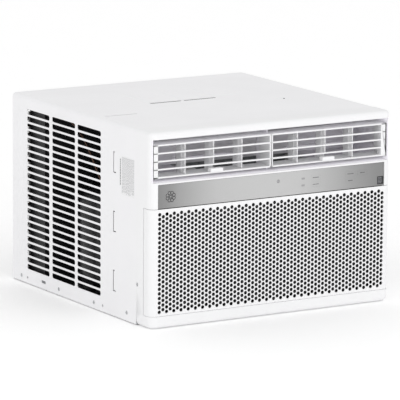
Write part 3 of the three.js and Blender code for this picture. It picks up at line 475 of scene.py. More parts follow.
def crossing(loop, places):
    """The loop with a point added wherever an edge passes one of the places along u."""
    result = []
    for (u0, v0), (u1, v1) in zip(loop, loop[1:] + loop[:1]):
        result.append((u0, v0))
        between = [u for u in places if min(u0, u1) + 1e-6 < u < max(u0, u1) - 1e-6]
        for u in sorted(between, reverse=u1 < u0):
            result.append((u, v0 + (v1 - v0) * (u - u0) / (u1 - u0)))
    return result


def rectangle(u0, u1, v0, v1):
    return [(u0, v0), (u1, v0), (u1, v1), (u0, v1)]


# ------------------------------------------------------------------ steel cabinet

SHEET_STEEL = 1.2 * MM
CABINET_BEND = 8 * MM
BEND_STEPS = 8
SLOT_COLUMNS = [mm(-83, 10), mm(19, 112), mm(123, 215)]
SLOT_ROWS = 23
SLOT_FIRST = 35.4 * MM
SLOT_PITCH = 14.3 * MM
SLOT_HALF = 5.0 * MM
LANCES = [mm(50, 92), mm(167, 208), mm(283, 324)]
LANCE_Y = mm(-134, -131.2)
LANCE_LEGS = mm(-142, -137.5)  # how far forward the lower and upper legs reach
LANCE_LEG = 1.7 * MM
BEAD = mm(233, 254, 30, 355)
PADS = [mm(-100, -30), mm(-21, 43), mm(56, 120)]
PAD_ENDS = mm(36, 136)
TOP_SLITS = [mm(-100, -28), mm(-23, 50)]
TOP_SLIT_Y = 24 * MM
LEFT_SLIT = mm(-253, -183, -69, -66.2)
DIMPLE_X = 159 * MM
DRAIN_SLOT = mm(15, 139, 156)  # height, and both ends along the side
PILOT_HOLES = mm(12.5, -91, 214)  # height, and places along the side
LIP_RISE = 3.2 * MM
LIP_RUN = 5 * MM


class Emboss:
    """A smooth raised or sunk patch of a sheet: nested loops from its foot to its flat top."""

    def __init__(self, u0, u1, v0, v1, radius, slope, height):
        self.box = (u0, u1, v0, v1)
        self.radius, self.slope, self.height = radius, slope, height

    def outline(self, inset):
        u0, u1, v0, v1 = self.box
        radius = max(self.radius - inset, 0.2 * MM)
        return rounded_rectangle(u0 + inset, u1 - inset, v0 + inset, v1 - inset, radius, 5)

    def rise(self, u, v):
        """Height at a point, from how far inside the rounded outline it lies."""
        u0, u1, v0, v1 = self.box
        du = abs(u - (u0 + u1) / 2) - (u1 - u0) / 2 + self.radius
        dv = abs(v - (v0 + v1) / 2) - (v1 - v0) / 2 + self.radius
        outward = math.hypot(max(du, 0), max(dv, 0)) + min(max(du, dv), 0) - self.radius
        share = min(max(-outward / self.slope, 0.0), 1.0)
        return self.height * share * share * (3 - 2 * share)


class Wrap:
    """The cabinet's girth unrolled: up the left side, over the top and down the right side."""

    def __init__(self):
        self.side = HALF - 0.6 * MM
        self.top = SHELL_HIGH.z
        self.bottom = SHELL_LOW.z
        self.radius = CABINET_BEND
        self.straight = self.top - self.radius - self.bottom
        self.curve = self.radius * math.pi / 2
        self.across = 2 * (self.side - self.radius)
        self.girth = 2 * self.straight + 2 * self.curve + self.across

    def left_u(self, z):
        return z - self.bottom

    def right_u(self, z):
        return self.girth - (z - self.bottom)

    def top_u(self, x):
        return self.straight + self.curve + x + self.side - self.radius

    def bends(self):
        starts = (self.straight, self.straight + self.curve + self.across)
        return [start + self.curve * i / BEND_STEPS for start in starts for i in range(BEND_STEPS + 1)]

    def spot(self, u, height):
        """Point in X and Z at a distance along the girth, pushed out along the outward direction by a
        height.
        """
        low, high = self.straight, self.straight + self.curve
        mirror = u > self.girth / 2
        if mirror:
            u = self.girth - u
        if u <= low:
            x, z, nx, nz = -self.side, self.bottom + u, -1.0, 0.0
        elif u >= high:
            x, z, nx, nz = -self.side + self.radius + (u - high), self.top, 0.0, 1.0
        else:
            angle = (u - low) / self.radius
            nx, nz = -math.cos(angle), math.sin(angle)
            x = -self.side + self.radius + self.radius * nx
            z = self.top - self.radius + self.radius * nz
        x, z = x + nx * height, z + nz * height
        return (-x if mirror else x), z


def lance_outline(side, z0, z1, grow):
    """A slit with a short leg forward at each end, the lower one longer."""
    front, back = LANCE_Y[0] - grow, LANCE_Y[1] + grow
    low_leg, high_leg = LANCE_LEGS[0] - grow, LANCE_LEGS[1] - grow
    z0, z1 = z0 - grow, z1 + grow
    leg = LANCE_LEG + 2 * grow
    corners = [(low_leg, z0), (back, z0), (back, z1), (high_leg, z1), (high_leg, z1 - leg),
               (front, z1 - leg), (front, z0 + leg), (low_leg, z0 + leg)]
    return [(side(z), y) for y, z in corners]


def cabinet_shell():
    wrap = Wrap()
    sheet = Sheet()
    front, back = SHELL_LOW.y, SHELL_HIGH.y
    edge = 0.3 * MM
    bends = wrap.bends()
    sheet.loop(crossing(rectangle(edge, wrap.girth - edge, front + edge, back - edge), bends),
               crossing(rectangle(0, wrap.girth, front, back), bends), edge)
    embosses, lips = [], []
    for side in (wrap.left_u, wrap.right_u):
        for y0, y1 in SLOT_COLUMNS:
            for row in range(SLOT_ROWS):
                middle = side(SLOT_FIRST + row * SLOT_PITCH)
                hole(sheet, middle - SLOT_HALF, middle + SLOT_HALF, y0, y1, 4.6 * MM)
        for z0, z1 in LANCES:
            sheet.loop(lance_outline(side, z0, z1, 0.25 * MM), lance_outline(side, z0, z1, 0.0), 0.25 * MM)
        middle = side(DRAIN_SLOT[0])
        hole(sheet, middle - 2.6 * MM, middle + 2.6 * MM, *DRAIN_SLOT[1:], 2.4 * MM)
        middle = side(PILOT_HOLES[0])
        for y in PILOT_HOLES[1:]:
            hole(sheet, middle - 2.2 * MM, middle + 2.2 * MM, y - 2.2 * MM, y + 2.2 * MM, 2.1 * MM)
        low, high = sorted((side(BEAD[2]), side(BEAD[3])))
        embosses.append(Emboss(low, high, BEAD[0], BEAD[1], 9.5 * MM, 8 * MM, 2.0 * MM))
    for x0, x1 in TOP_SLITS:
        low, high = wrap.top_u(x0), wrap.top_u(x1)
        hole(sheet, low, high, TOP_SLIT_Y - 3.0 * MM, TOP_SLIT_Y + 2.4 * MM, 1.2 * MM)
        lips.append((low, high, TOP_SLIT_Y + 1.6 * MM))
        for share in (0.0, 0.5, 1.0):
            v = TOP_SLIT_Y + 3.4 * MM + share * LIP_RUN
            sheet.line([(low + 2 * MM, v), (high - 2 * MM, v)])
    low, high = wrap.top_u(LEFT_SLIT[0]), wrap.top_u(LEFT_SLIT[1])
    hole(sheet, low, high, *LEFT_SLIT[2:], 0.8 * MM)
    lips.append((low, high, -66.6 * MM))
    sheet.line([(low + 2 * MM, -59 * MM), (high - 2 * MM, -59 * MM)])
    for x0, x1 in PADS:
        embosses.append(Emboss(wrap.top_u(x0), wrap.top_u(x1), *PAD_ENDS, 10 * MM, 7 * MM, 1.6 * MM))
    dimple = wrap.top_u(DIMPLE_X)
    embosses.append(Emboss(dimple - 10 * MM, dimple + 10 * MM, *mm(-58, -38, 9.9, 3.5, -1.5)))
    for patch in embosses:
        for share in (0.0, 0.25, 0.5, 0.75, 1.0):
            sheet.line(patch.outline(patch.slope * share), closed=True)
    for bend in bends:
        sheet.line([(bend, front + 1 * MM), (bend, back - 1 * MM)])

    def place(u, v, depth):
        x, z = wrap.spot(u, sum(patch.rise(u, v) for patch in embosses) + lip_rise(lips, u, v) - depth)
        return (x, v, z)

    shell = sheet.solid(place, SHEET_STEEL)
    reach = wrap.side - 1.2 * MM
    flange = [(-reach, 1 * MM)] + arc(-reach + 7 * MM, wrap.top - 8.2 * MM, 7 * MM, 180, 90, 5)
    flange += arc(reach - 7 * MM, wrap.top - 8.2 * MM, 7 * MM, 90, 0, 5) + [(reach, 1 * MM)]
    flange += [(reach - 11 * MM, 1 * MM), (reach - 11 * MM, wrap.top - 13 * MM)]
    flange += [(-reach + 11 * MM, wrap.top - 13 * MM), (-reach + 11 * MM, 1 * MM)]
    rear = extrusion(flange, "y", back - 1.5 * MM, back - 0.2 * MM)
    piece = piece_from("steel_cabinet", *merged(shell, rear), "white_steel", 32.0)
    # painted shade: the cabinet's inward faces are near-black, so the slots and lances show dark
    paint_inside(piece, "inner_steel_painted_shade")
    return moulded(even_shading(piece), "chassis", "white_steel", "cabinet_shell")


def lip_rise(lips, u, v):
    """The steel behind a top slit stands up in a lip that falls away to the back."""
    for low, high, start in lips:
        if low < u < high and start < v < start + LIP_RUN + 2 * MM:
            share = (v - start) / (LIP_RUN + 2 * MM)
            ends = min((u - low) / (5 * MM), (high - u) / (5 * MM), 1.0)
            return LIP_RISE * (1 - share) * ends
    return 0.0


def hole(sheet, u0, u1, v0, v1, radius, edge=0.35 * MM, steps=5):
    """A rounded oblong opening with a small round on its edge."""
    face = rounded_rectangle(u0 - edge, u1 + edge, v0 - edge, v1 + edge, radius + edge, steps)
    sheet.loop(face, rounded_rectangle(u0, u1, v0, v1, radius, steps), edge)


def paint_inside(piece, finish):
    """Gives the faces that look inwards another finish; on the cabinet this is painted shade, a near-black
    for its inside.
    """
    piece.data.materials.append(finish_of(finish))
    for polygon in piece.data.polygons:
        centre, normal = polygon.center, polygon.normal
        looks_in = (abs(normal.x) > 0.5 and centre.x * normal.x < 0) or normal.z < -0.5
        if looks_in and centre.y < BACK - 3 * MM:
            polygon.material_index = 1


cabinet_shell()


# ------------------------------------------------------------------ bezel and inlet grille

BEZEL_CORNER = 15 * MM
BEZEL_WALL = 3 * MM
TOP_ROUND = 7 * MM
BOTTOM_ROUND = 10 * MM
CORNER_STEPS = 10
GRILLE_COLUMNS = 64
GRILLE_ROWS = 22
HOLE_PITCH_X = 8.03 * MM
HOLE_PITCH_Z = 9.02 * MM
HOLE_FIRST_X = -253 * MM
HOLE_FIRST_Z = 33 * MM
HOLE_RADIUS = 3.65 * MM
OUTLET = mm(-269, 269, 283.5, 366.5)
BEZEL_SCREW = mm(-226, 80)
SEAM_NOTCH = mm(1.5, 26, 2.6)  # low end, high end and depth of the cut in the rear edge


class Front:
    """The front's plan unrolled: along the left side, round the corner, across and back on the right."""

    def __init__(self, back, top_round=0.0, bottom_round=0.0):
        self.back = back
        self.radius = BEZEL_CORNER
        self.side = back - (FRONT + self.radius)
        self.curve = self.radius * math.pi / 2
        self.across = 2 * (HALF - self.radius)
        self.length = 2 * self.side + 2 * self.curve + self.across
        self.top_round = top_round
        self.bottom_round = bottom_round
        self.top_turn = TOP - top_round
        self.v_top = self.top_turn + top_round * math.pi / 2
        self.v_bottom = bottom_round - bottom_round * math.pi / 2

    def front_u(self, x):
        """Distance along the plan to a place on the flat front, or on the round corner past it."""
        flat = HALF - self.radius
        if abs(x) <= flat:
            return self.length / 2 + x
        turn = math.asin(min((abs(x) - flat) / self.radius, 1.0)) * self.radius
        return self.length / 2 + math.copysign(flat + turn, x)

    def side_u(self, y, side):
        reach = self.length / 2 - (self.back - y)
        return self.length / 2 + side * reach

    def bends(self):
        starts = (self.side, self.side + self.curve + self.across)
        return [start + self.curve * i / CORNER_STEPS for start in starts for i in range(CORNER_STEPS + 1)]

    def place(self, u, v, depth):
        """The point at (u, v), that far under the skin."""
        inset, z = depth, v
        if self.top_round and v > self.top_turn:
            angle = (v - self.top_turn) / self.top_round
            inset = self.top_round - (self.top_round - depth) * math.cos(angle)
            z = self.top_turn + (self.top_round - depth) * math.sin(angle)
        elif self.bottom_round and v < self.bottom_round:
            angle = (self.bottom_round - v) / self.bottom_round
            inset = self.bottom_round - (self.bottom_round - depth) * math.cos(angle)
            z = self.bottom_round - (self.bottom_round - depth) * math.sin(angle)
        mirror = u > self.length / 2
        if mirror:
            u = self.length - u
        if u <= self.side:
            x, y = -HALF + inset, self.back - u
        elif u >= self.side + self.curve:
            x, y = -HALF + self.radius + (u - self.side - self.curve), FRONT + inset
        else:
            angle = (u - self.side) / self.radius
            reach = self.radius - inset
            x = -HALF + self.radius - reach * math.cos(angle)
            y = FRONT + self.radius - reach * math.sin(angle)
        return ((-x if mirror else x), y, z)


def plan_ring(front, inset, back):
    """The front's plan outline at an inset, closed across the back."""
    us = [0.0] + front.bends() + [front.length]
    ring = [front.place(u, TOP / 2, inset)[:2] for u in us]
    ring[0] = (ring[0][0], back)
    ring[-1] = (ring[-1][0], back)
    return ring


def notched(length, levels, inset):
    """The skin's outline through the given heights, with a notch near the foot of both rear edges."""
    z0, z1, depth = SEAM_NOTCH
    z0, z1 = z0 - inset, z1 + inset
    edge, deep = length - inset, length - depth - inset
    right = [(edge, v) for v in levels if v < z0 - 0.1 * MM] + [(edge, z0)]
    right += [(deep, z0)] + [(deep, v) for v in levels if z0 + 0.1 * MM < v < z1] + [(deep, z1)]
    right += [(edge, z1)] + [(edge, v) for v in levels if v > z1]
    return right + [(length - u, v) for u, v in reversed(right)]


def front_bezel():
    front = Front(BEZEL_BACK, TOP_ROUND, BOTTOM_ROUND)
    bends = front.bends()
    sheet = Sheet()
    edge = 0.5 * MM
    low, high = front.v_bottom, front.v_top
    levels = [low + (BOTTOM_ROUND - low) * i / BEND_STEPS for i in range(BEND_STEPS + 1)]
    levels += [front.top_turn + (high - front.top_turn) * i / BEND_STEPS for i in range(BEND_STEPS + 1)]
    sheet.loop(crossing(notched(front.length, levels, edge), bends),
               crossing(notched(front.length, levels, 0.0), bends), edge)
    x0, x1, z0, z1 = OUTLET
    u0, u1 = front.front_u(x0), front.front_u(x1)
    sheet.loop(crossing(rounded_rectangle(u0 - edge, u1 + edge, z0 - edge, z1 + edge, 3.5 * MM), bends),
               crossing(rounded_rectangle(u0, u1, z0, z1, 3 * MM), bends), edge)
    gap = 0.35 * MM
    fascia = (front.front_u(FASCIA_LOW.x - gap), front.front_u(FASCIA_HIGH.x + gap), FASCIA_HIGH.z + gap)
    wrap_end = GRILLE_HIGH.y + 1.1 * MM
    wraps = (front.side_u(wrap_end, -1), front.side_u(wrap_end, 1))
    seam = GRILLE_HIGH.z + 0.5 * MM
    strip = GRILLE_LOW.z - 0.3 * MM

    def stepped(out, drop):
        return crossing([(wraps[0] - out, strip - drop), (wraps[1] + out, strip - drop),
                         (wraps[1] + out, seam + out), (fascia[1] + out, seam + out),
                         (fascia[1] + out, fascia[2] + out), (fascia[0] - out, fascia[2] + out),
                         (fascia[0] - out, seam + out), (wraps[0] - out, seam + out)], bends)

    sheet.loop(stepped(0.2 * MM, 0.0), stepped(0.0, 2.9 * MM), 2.2 * MM)
    for side in (-1, 1):
        u, v = front.side_u(BEZEL_SCREW[0], side), BEZEL_SCREW[1]
        sheet.loop(circle(u, v, 4.1 * MM), circle(u, v, 3.9 * MM), 0.2 * MM)
    margin = 1.2 * MM
    for u in bends:
        spans = [(low + margin, strip - 4 * MM), (seam + margin, high - margin)]
        if u0 - 2 * margin < u < u1 + 2 * margin:
            spans = [spans[0], (seam + margin, z0 - 2 * margin), (z1 + 2 * margin, high - margin)]
        for v0, v1 in spans:
            sheet.line([(u, v0), (u, v1)])
    start = SEAM_NOTCH[2] + 2 * edge
    for v in levels:
        sheet.line([(start, v), (front.length - start, v)])
    skin = sheet.solid(front.place, BEZEL_WALL)
    lid = extrusion(plan_ring(front, TOP_ROUND, BEZEL_BACK - 0.5 * MM), "z", TOP - BEZEL_WALL, TOP)
    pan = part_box("base_pan")[0].y - 2 * MM
    foot_ring = [(x, min(y, pan)) for x, y in plan_ring(front, BOTTOM_ROUND, BEZEL_BACK)]
    foot = extrusion(foot_ring, "z", 0.0, BEZEL_WALL)
    back_plate = box_part((-HALF + 3 * MM, FRONT + 5 * MM, 234.2 * MM),
                          (HALF - 3 * MM, FRONT + 7.5 * MM, 281 * MM))
    piece = piece_from("bezel_moulding", *merged(skin, lid, foot, back_plate), "white_plastic", 30.0)
    return moulded(even_shading(piece), "chassis", "white_plastic", "front_bezel")


def inlet_grille():
    front = Front(GRILLE_HIGH.y)
    bends = front.bends()
    sheet = Sheet()
    edge = 0.25 * MM
    low, high = GRILLE_LOW.z, GRILLE_HIGH.z
    sheet.loop(crossing(rectangle(edge, front.length - edge, low + edge, high - edge), bends),
               crossing(rectangle(0, front.length, low, high), bends), edge)
    lead = 0.2 * MM
    for column in range(GRILLE_COLUMNS):
        offset = column % 2
        for row in range(GRILLE_ROWS - offset):
            u = front.front_u(HOLE_FIRST_X + column * HOLE_PITCH_X)
            v = HOLE_FIRST_Z + (row + offset / 2) * HOLE_PITCH_Z
            sheet.loop(circle(u, v, HOLE_RADIUS + lead, 12), circle(u, v, HOLE_RADIUS, 12), lead)
    for u in bends:
        sheet.line([(u, low + 2 * MM), (u, high - 2 * MM)])
    panel = sheet.solid(front.place, 0.9 * MM)
    piece = piece_from("perforated_grille", *panel, "white_plastic", 30.0)
    return moulded(even_shading(piece), "grille", "white_plastic", "front_grille")


front_bezel()
inlet_grille()


# ------------------------------------------------------------------ shared solids

def built(name, body, slot_name, finish, parts, width=0.0, nodes=(), smooth=35.0, segments=2):
    """One piece made of closed solids, its edges rounded to a width, riding on a body."""
    piece = piece_from(name, *merged(*parts), finish, smooth)
    if width:
        rounded(piece, width, segments)
    return moulded(piece, body, slot_name, *nodes)


def bar(x0, x1, y0, y1, z0, z1):
    return box_part((min(x0, x1), y0, z0), (max(x0, x1), y1, z1))


def frame_bars(x0, x1, y0, y1, z0, z1, rim):
    """The four bars of a rectangular frame that faces the front."""
    return [bar(x0, x1, y0, y1, z0, z0 + rim), bar(x0, x1, y0, y1, z1 - rim, z1),
            bar(x0, x0 + rim, y0, y1, z0, z1), bar(x1 - rim, x1, y0, y1, z0, z1)]


def rod_part(axis, u, v, radius, low, high, sides=24):
    return extrusion(circle(u, v, radius, sides), axis, low, high)


def profile_from(start, pairs):
    """A profile whose radii, and offsets from a start on the axis, are in millimetres."""
    return [(radius * MM, start + offset * MM) for radius, offset in pairs]


def revolved(axis, u, v, profile, sides, closed):
    """Vertices and side faces of a profile of (radius, height) pairs turned about an axis."""
    count = len(profile)
    vertices, faces = [], []
    for step in range(sides):
        angle = 2 * math.pi * step / sides
        vertices += [about(axis, u + radius * math.cos(angle), v + radius * math.sin(angle), height)
                     for radius, height in profile]
        here, there = step * count, (step + 1) % sides * count
        faces += [(here + i, there + i, there + (i + 1) % count, here + (i + 1) % count)
                  for i in range(count if closed else count - 1)]
    return vertices, faces


def turned_part(axis, u, v, profile, sides=48):
    """A solid of revolution, closed at both ends of its profile."""
    count = len(profile)
    vertices, faces = revolved(axis, u, v, profile, sides, False)
    return vertices, faces + [tuple(step * count + end for step in range(sides)) for end in (0, count - 1)]


def ring_part(axis, u, v, profile, sides=64):
    """A ring of revolution, whose profile is a closed loop."""
    return revolved(axis, u, v, profile, sides, True)


def swept(points, radius, sides=14, samples=8):
    """A round tube along a smooth path through the points."""
    points = [Vector(point) for point in points]
    padded = [2 * points[0] - points[1]] + points + [2 * points[-1] - points[-2]]
    path = []
    for p0, p1, p2, p3 in zip(padded, padded[1:], padded[2:], padded[3:]):
        for step in range(samples):
            t = step / samples
            path.append(0.5 * (2 * p1 + (p2 - p0) * t + (2 * p0 - 5 * p1 + 4 * p2 - p3) * t * t
                               + (3 * p1 - p0 - 3 * p2 + p3) * t * t * t))
    path.append(points[-1])
    last = len(path) - 1
    tangents = [(path[min(i + 1, last)] - path[max(i - 1, 0)]).normalized() for i in range(last + 1)]
    side = tangents[0].orthogonal().normalized()
    vertices, faces = [], []
    for place, along in zip(path, tangents):
        side = (side - along * side.dot(along)).normalized()
        other = along.cross(side)
        for k in range(sides):
            angle = 2 * math.pi * k / sides
            vertices.append(tuple(place + radius * (math.cos(angle) * side + math.sin(angle) * other)))
    for i in range(last):
        here = i * sides
        faces += [(here + k, here + (k + 1) % sides, here + sides + (k + 1) % sides, here + sides + k)
                  for k in range(sides)]
    faces += [tuple(range(sides)), tuple(range(last * sides, (last + 1) * sides))]
    return vertices, faces


# ------------------------------------------------------------------ louver banks, fins and links

BANK_Y = mm(-269, -229)
BANK_Z = mm(290.7, 355.7)
BANK_X = mm(1.2, 264.5)
BAR = 3 * MM
BAR_DEPTH = 5 * MM
POST = mm(11.5, 14)
END_PLATE = 2.4 * MM
BANK_ROWS = 4  # openings between the bars
PIVOT = mm(-249, 323.2)
PIN = 2 * MM  # radius of the pivot pins
FIN_Y = mm(-263.5, -229.5)
FIN_PIVOT_Y = -250 * MM
FIN_Z = mm(294.0, 352.4)
FIN_XS = mm(63, 126.5, 190)
LINK_Y = -225 * MM
LINK_Z = mm(316, 319)
TAB_X = 13.5 * MM
TAB_Z = mm(294.8, 301.2)
TAB_FIN_FRONT = -258 * MM  # front edge of a fin behind its tab
TAB_FIN_TOP = 306 * MM


def louver_bank(name, side):
    x0, x1 = BANK_X
    y0, y1 = BANK_Y
    z0, z1 = BANK_Z
    parts = [
        bar(side * (x1 - POST[0]), side * x1, y0, y0 + POST[1], z0, z1),
        bar(side * (x1 - END_PLATE), side * x1, y0, y1, z0, z1),
        bar(side * x0, side * (x0 + END_PLATE), y0, y1, z0, z1),
        rod_part("x", *PIVOT, PIN, *sorted((side * (x1 - 1 * MM), side * (x1 + 4 * MM)))),
    ]
    pitch = (z1 - z0 - BAR) / BANK_ROWS
    for row in range(BANK_ROWS + 1):
        low = z0 + row * pitch
        back = y1 if row in (0, BANK_ROWS) else y0 + BAR_DEPTH
        parts.append(bar(side * x0, side * x1, y0, back, low, low + BAR))
    built(f"louvers_{name}", f"bank_{name}", "white_plastic", "white_plastic", parts, 0.7 * MM,
          (f"louver_bank_{name}",), segments=3)


def fin_outline(x, front, back):
    """Plan of a fin: round nose, slight belly, thin tail."""
    belly, tail = 1.2 * MM, 0.7 * MM
    nose = [(x + belly * math.cos(a), front + belly - belly * math.sin(a))
            for a in (math.radians(d) for d in range(0, 181, 30))]
    return nose + [(x - tail, back), (x + tail, back)]


def air_fin(name, index, side):
    x = side * FIN_XS[index]
    has_tab = index == 1
    y0, y1 = FIN_Y
    z0, z1 = FIN_Z
    slot_y = LINK_Y - 6 * MM
    levels = [z0, TAB_FIN_TOP, LINK_Z[0] - 0.4 * MM, LINK_Z[1] + 0.5 * MM, z1]
    parts = []
    for low, high in zip(levels, levels[1:]):
        front = TAB_FIN_FRONT if has_tab and high == TAB_FIN_TOP else y0
        back = slot_y if low == levels[2] else y1
        parts.append(extrusion(fin_outline(x, front, back), "z", low, high))
    parts.append(rod_part("z", x, FIN_PIVOT_Y, PIN, BANK_Z[0] + 0.5 * MM, BANK_Z[1] - 0.5 * MM))
    parts.append(rod_part("z", x, LINK_Y, 1.5 * MM, LINK_Z[0] - 2 * MM, LINK_Z[1] + 0.3 * MM, 16))
    parts.append(bar(x - 1.2 * MM, x + 1.2 * MM, y1 - 3 * MM, LINK_Y + 2 * MM, LINK_Z[0] - 4 * MM,
                     LINK_Z[0] - 0.4 * MM))
    if has_tab:
        parts.append(bar(x - TAB_X, x + TAB_X, FRONT, FRONT + 12 * MM, *TAB_Z))
        parts.append(bar(x - 3 * MM, x + 3 * MM, FRONT + 11 * MM, FRONT + 20 * MM, *TAB_Z))
        for ridge in range(-2, 3):
            middle = x + ridge * 4.6 * MM
            parts.append(bar(middle - 0.5 * MM, middle + 0.5 * MM, FRONT + 1.5 * MM, FRONT + 8 * MM,
                             TAB_Z[0] + 1 * MM, TAB_Z[1] + 0.5 * MM))
    built(f"fin_{name}_{index + 1}", f"fin_{name}_{index + 1}", "white_plastic", "white_plastic", parts,
          0.25 * MM, (f"air_fin_{name}_{index + 1}",))


def fin_link(name, side):
    ends = [side * (FIN_XS[0] - 5 * MM), side * (FIN_XS[2] + 5 * MM)]
    outline = rounded_rectangle(min(ends), max(ends), LINK_Y - 3.5 * MM, LINK_Y + 3.5 * MM, 3.4 * MM, 6)
    link = piece_from(f"link_bar_{name}", *extrusion(outline, "z", *LINK_Z), "grey_plastic")
    holes = [cutter(*rod_part("z", side * x, LINK_Y, 1.8 * MM, LINK_Z[0] - MM, LINK_Z[1] + MM))
             for x in FIN_XS]
    rounded(join_solids(link, holes, "DIFFERENCE"), 0.3 * MM)
    moulded(link, f"link_{name}", "grey_plastic", f"fin_link_{name}")


for hand, side in (("left", -1), ("right", 1)):
    louver_bank(hand, side)
    fin_link(hand, side)
    for index in range(3):
        air_fin(hand, index, side)


# ------------------------------------------------------------------ outlet duct

DUCT_LOW, DUCT_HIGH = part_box("outlet_duct")
LINER = 2.2 * MM
DUCT_INLET = mm(-138, 138, -190)  # both sides and the front of the opening in the floor
DEFLECTOR_BACK = -109 * MM  # rear face of the wall that turns the air forward
DUCT_RIBS = mm(-225, -150, -75, 75, 150, 225)


def outlet_duct():
    x1, z0, z1 = 268.6 * MM, OUTLET[2] - LINER + 0.3 * MM, OUTLET[3] + LINER
    y0, y1 = DUCT_LOW.y, DUCT_HIGH.y
    outer = piece_from("duct_liner", *extrusion(rounded_rectangle(-x1, x1, z0, z1, 4 * MM, 6), "y", y0, y1),
                       "duct_lining", 40.0)
    hollow = rounded_rectangle(-x1 + LINER, x1 - LINER, OUTLET[2], OUTLET[3], 1.5 * MM, 6)
    tools = [cutter(*extrusion(hollow, "y", y0 - MM, y1 + MM)),
             cutter(*bar(*DUCT_INLET, y1 + MM, OUTLET[2] - 5 * MM, OUTLET[2] + 5 * MM))]
    for side in (-1, 1):
        ends = sorted((side * (x1 + MM), side * (x1 - 4 * MM)))
        tools.append(cutter(*rod_part("x", *PIVOT, 2.4 * MM, *ends)))
    join_solids(outer, tools, "DIFFERENCE")
    back, foot, head = DEFLECTOR_BACK, OUTLET[2] - MM, OUTLET[3] + MM
    mullion = [bar(-0.8 * MM, 0.8 * MM, -253 * MM, -215 * MM, foot, head),
               rod_part("x", *PIVOT, PIN, -3.2 * MM, 3.2 * MM)]
    for x in DUCT_RIBS:
        mullion.append(bar(x - 0.8 * MM, x + 0.8 * MM, -205 * MM, back - 3 * MM, OUTLET[3] - 3 * MM, head))
    slope = [(back - 3 * MM, foot), (back, foot), (back, head), (back - 61 * MM, head),
             (back - 59 * MM, OUTLET[3] - 3 * MM), (back - 25 * MM, OUTLET[2] + 40 * MM)]
    deflector = extrusion(slope, "x", -x1 + MM, x1 - MM)
    built("duct_deflector", "chassis", "grey_plastic", "duct_lining", [deflector], 1.5 * MM,
          ("outlet_duct",))
    ribs = piece_from("duct_ribs", *merged(*mullion), "duct_lining")
    moulded(ribs, "chassis", "grey_plastic", "outlet_duct")
    moulded(outer, "chassis", "grey_plastic", "outlet_duct")


outlet_duct()


# ------------------------------------------------------------------ control strip

FASCIA_Y = FASCIA_LOW.y
KEY_FACE = FASCIA_Y - 0.1 * MM
KEY_BACK = -266.5 * MM
KEY_HALF = mm(11, 4.6)
KEY_CORNER = 2 * MM
PLAY = 0.12 * MM
KEYS = {
    "power": mm(206, 263.2),
    "mode": mm(178.4, 263.2),
    "fan_speed": mm(178.4, 249.8),
    "temp_up": mm(98.4, 263.2),
    "temp_down": mm(98.4, 249.8),
}
KEY_MARKS = {  # how far in each row of marks starts, and the widths of its dashes, in millimetres
    "power": (2.0, (1.6, 2.2, 1.2, 1.8, 1.4)),
    "mode": (0.0, (2.0, 1.4, 2.4, 1.8, 1.6, 1.9)),
    "fan_speed": (1.5, (1.5, 2.1, 1.2, 2.0, 1.6)),
    "temp_up": (0.0, (2.2, 1.3, 1.9, 1.6, 2.3, 1.6)),
    "temp_down": (0.0, (1.6, 2.3, 1.4, 2.2, 1.3, 2.0)),
}
LENSES = {"upper": mm(69.4, 263.2), "lower": mm(69.4, 249.8)}
LENS_HALF = mm(3.6, 1.8)
LENS_CORNER = 0.7 * MM
SIGNAL = mm(12.4, 263, 3.5)
EMBLEM = mm(-229, 255.4, 11.5)
STICKER = mm(241.2, 255.6, 236.3, 252)


def oblong(x, z, half, corner, grow=0.0, steps=5):
    return rounded_rectangle(x - half[0] - grow, x + half[0] + grow, z - half[1] - grow, z + half[1] + grow,
                             corner + grow, steps)


def printed(name, body, parts, finish="print_ink"):
    """Marks printed on a face, as a film of flat solids."""
    built(name, body, "dark_plastic", finish, parts)


def mark(x0, x1, z0, z1, face):
    return bar(x0, x1, face - 0.04 * MM, face + 0.02 * MM, z0, z1)


def dashes(x0, widths, z, height, face, gap=0.55 * MM):
    """A row of short dashes of the given widths."""
    parts = []
    for width in widths:
        parts.append(mark(x0, x0 + width * MM, z - height / 2, z + height / 2, face))
        x0 += width * MM + gap
    return parts


def control_strip():
    sheet = Sheet()
    edge = 0.25 * MM
    x0, x1, z0, z1 = FASCIA_LOW.x, FASCIA_HIGH.x, FASCIA_LOW.z, FASCIA_HIGH.z
    sheet.loop(rounded_rectangle(x0 + edge, x1 - edge, z0 + edge, z1 - edge, 0.8 * MM, 3),
               rounded_rectangle(x0, x1, z0, z1, 1 * MM, 3), edge)
    small = 0.06 * MM
    for places, half, corner in ((KEYS, KEY_HALF, KEY_CORNER), (LENSES, LENS_HALF, LENS_CORNER)):
        for x, z in places.values():
            sheet.loop(oblong(x, z, half, corner, PLAY + small), oblong(x, z, half, corner, PLAY), small)
    x, z, radius = SIGNAL
    sheet.loop(circle(x, z, radius + PLAY + small, 32), circle(x, z, radius + PLAY, 32), small)
    plate = sheet.solid(lambda u, v, depth: (u, FASCIA_Y + depth, v), FASCIA_HIGH.y - FASCIA_Y)
    strip = piece_from("silver_strip", *plate, "silver_paint", 30.0)
    moulded(strip, "chassis", "silver_plastic", "control_fascia")


def key(name, x, z):
    cap = extrusion(oblong(x, z, KEY_HALF, KEY_CORNER), "y", KEY_FACE, KEY_FACE + 3 * MM)
    stem = rod_part("y", x, z, 2.5 * MM, KEY_FACE + 2 * MM, KEY_BACK)
    body = f"{name}_key"
    built(f"key_cap_{name}", body, "silver_plastic", "silver_paint", [cap, stem], 0.08 * MM,
          (f"key_{name}",))
    start, widths = KEY_MARKS[name]
    printed(f"key_mark_{name}", body, dashes(x - 7 * MM + start * MM, widths, z, 1.3 * MM, KEY_FACE))


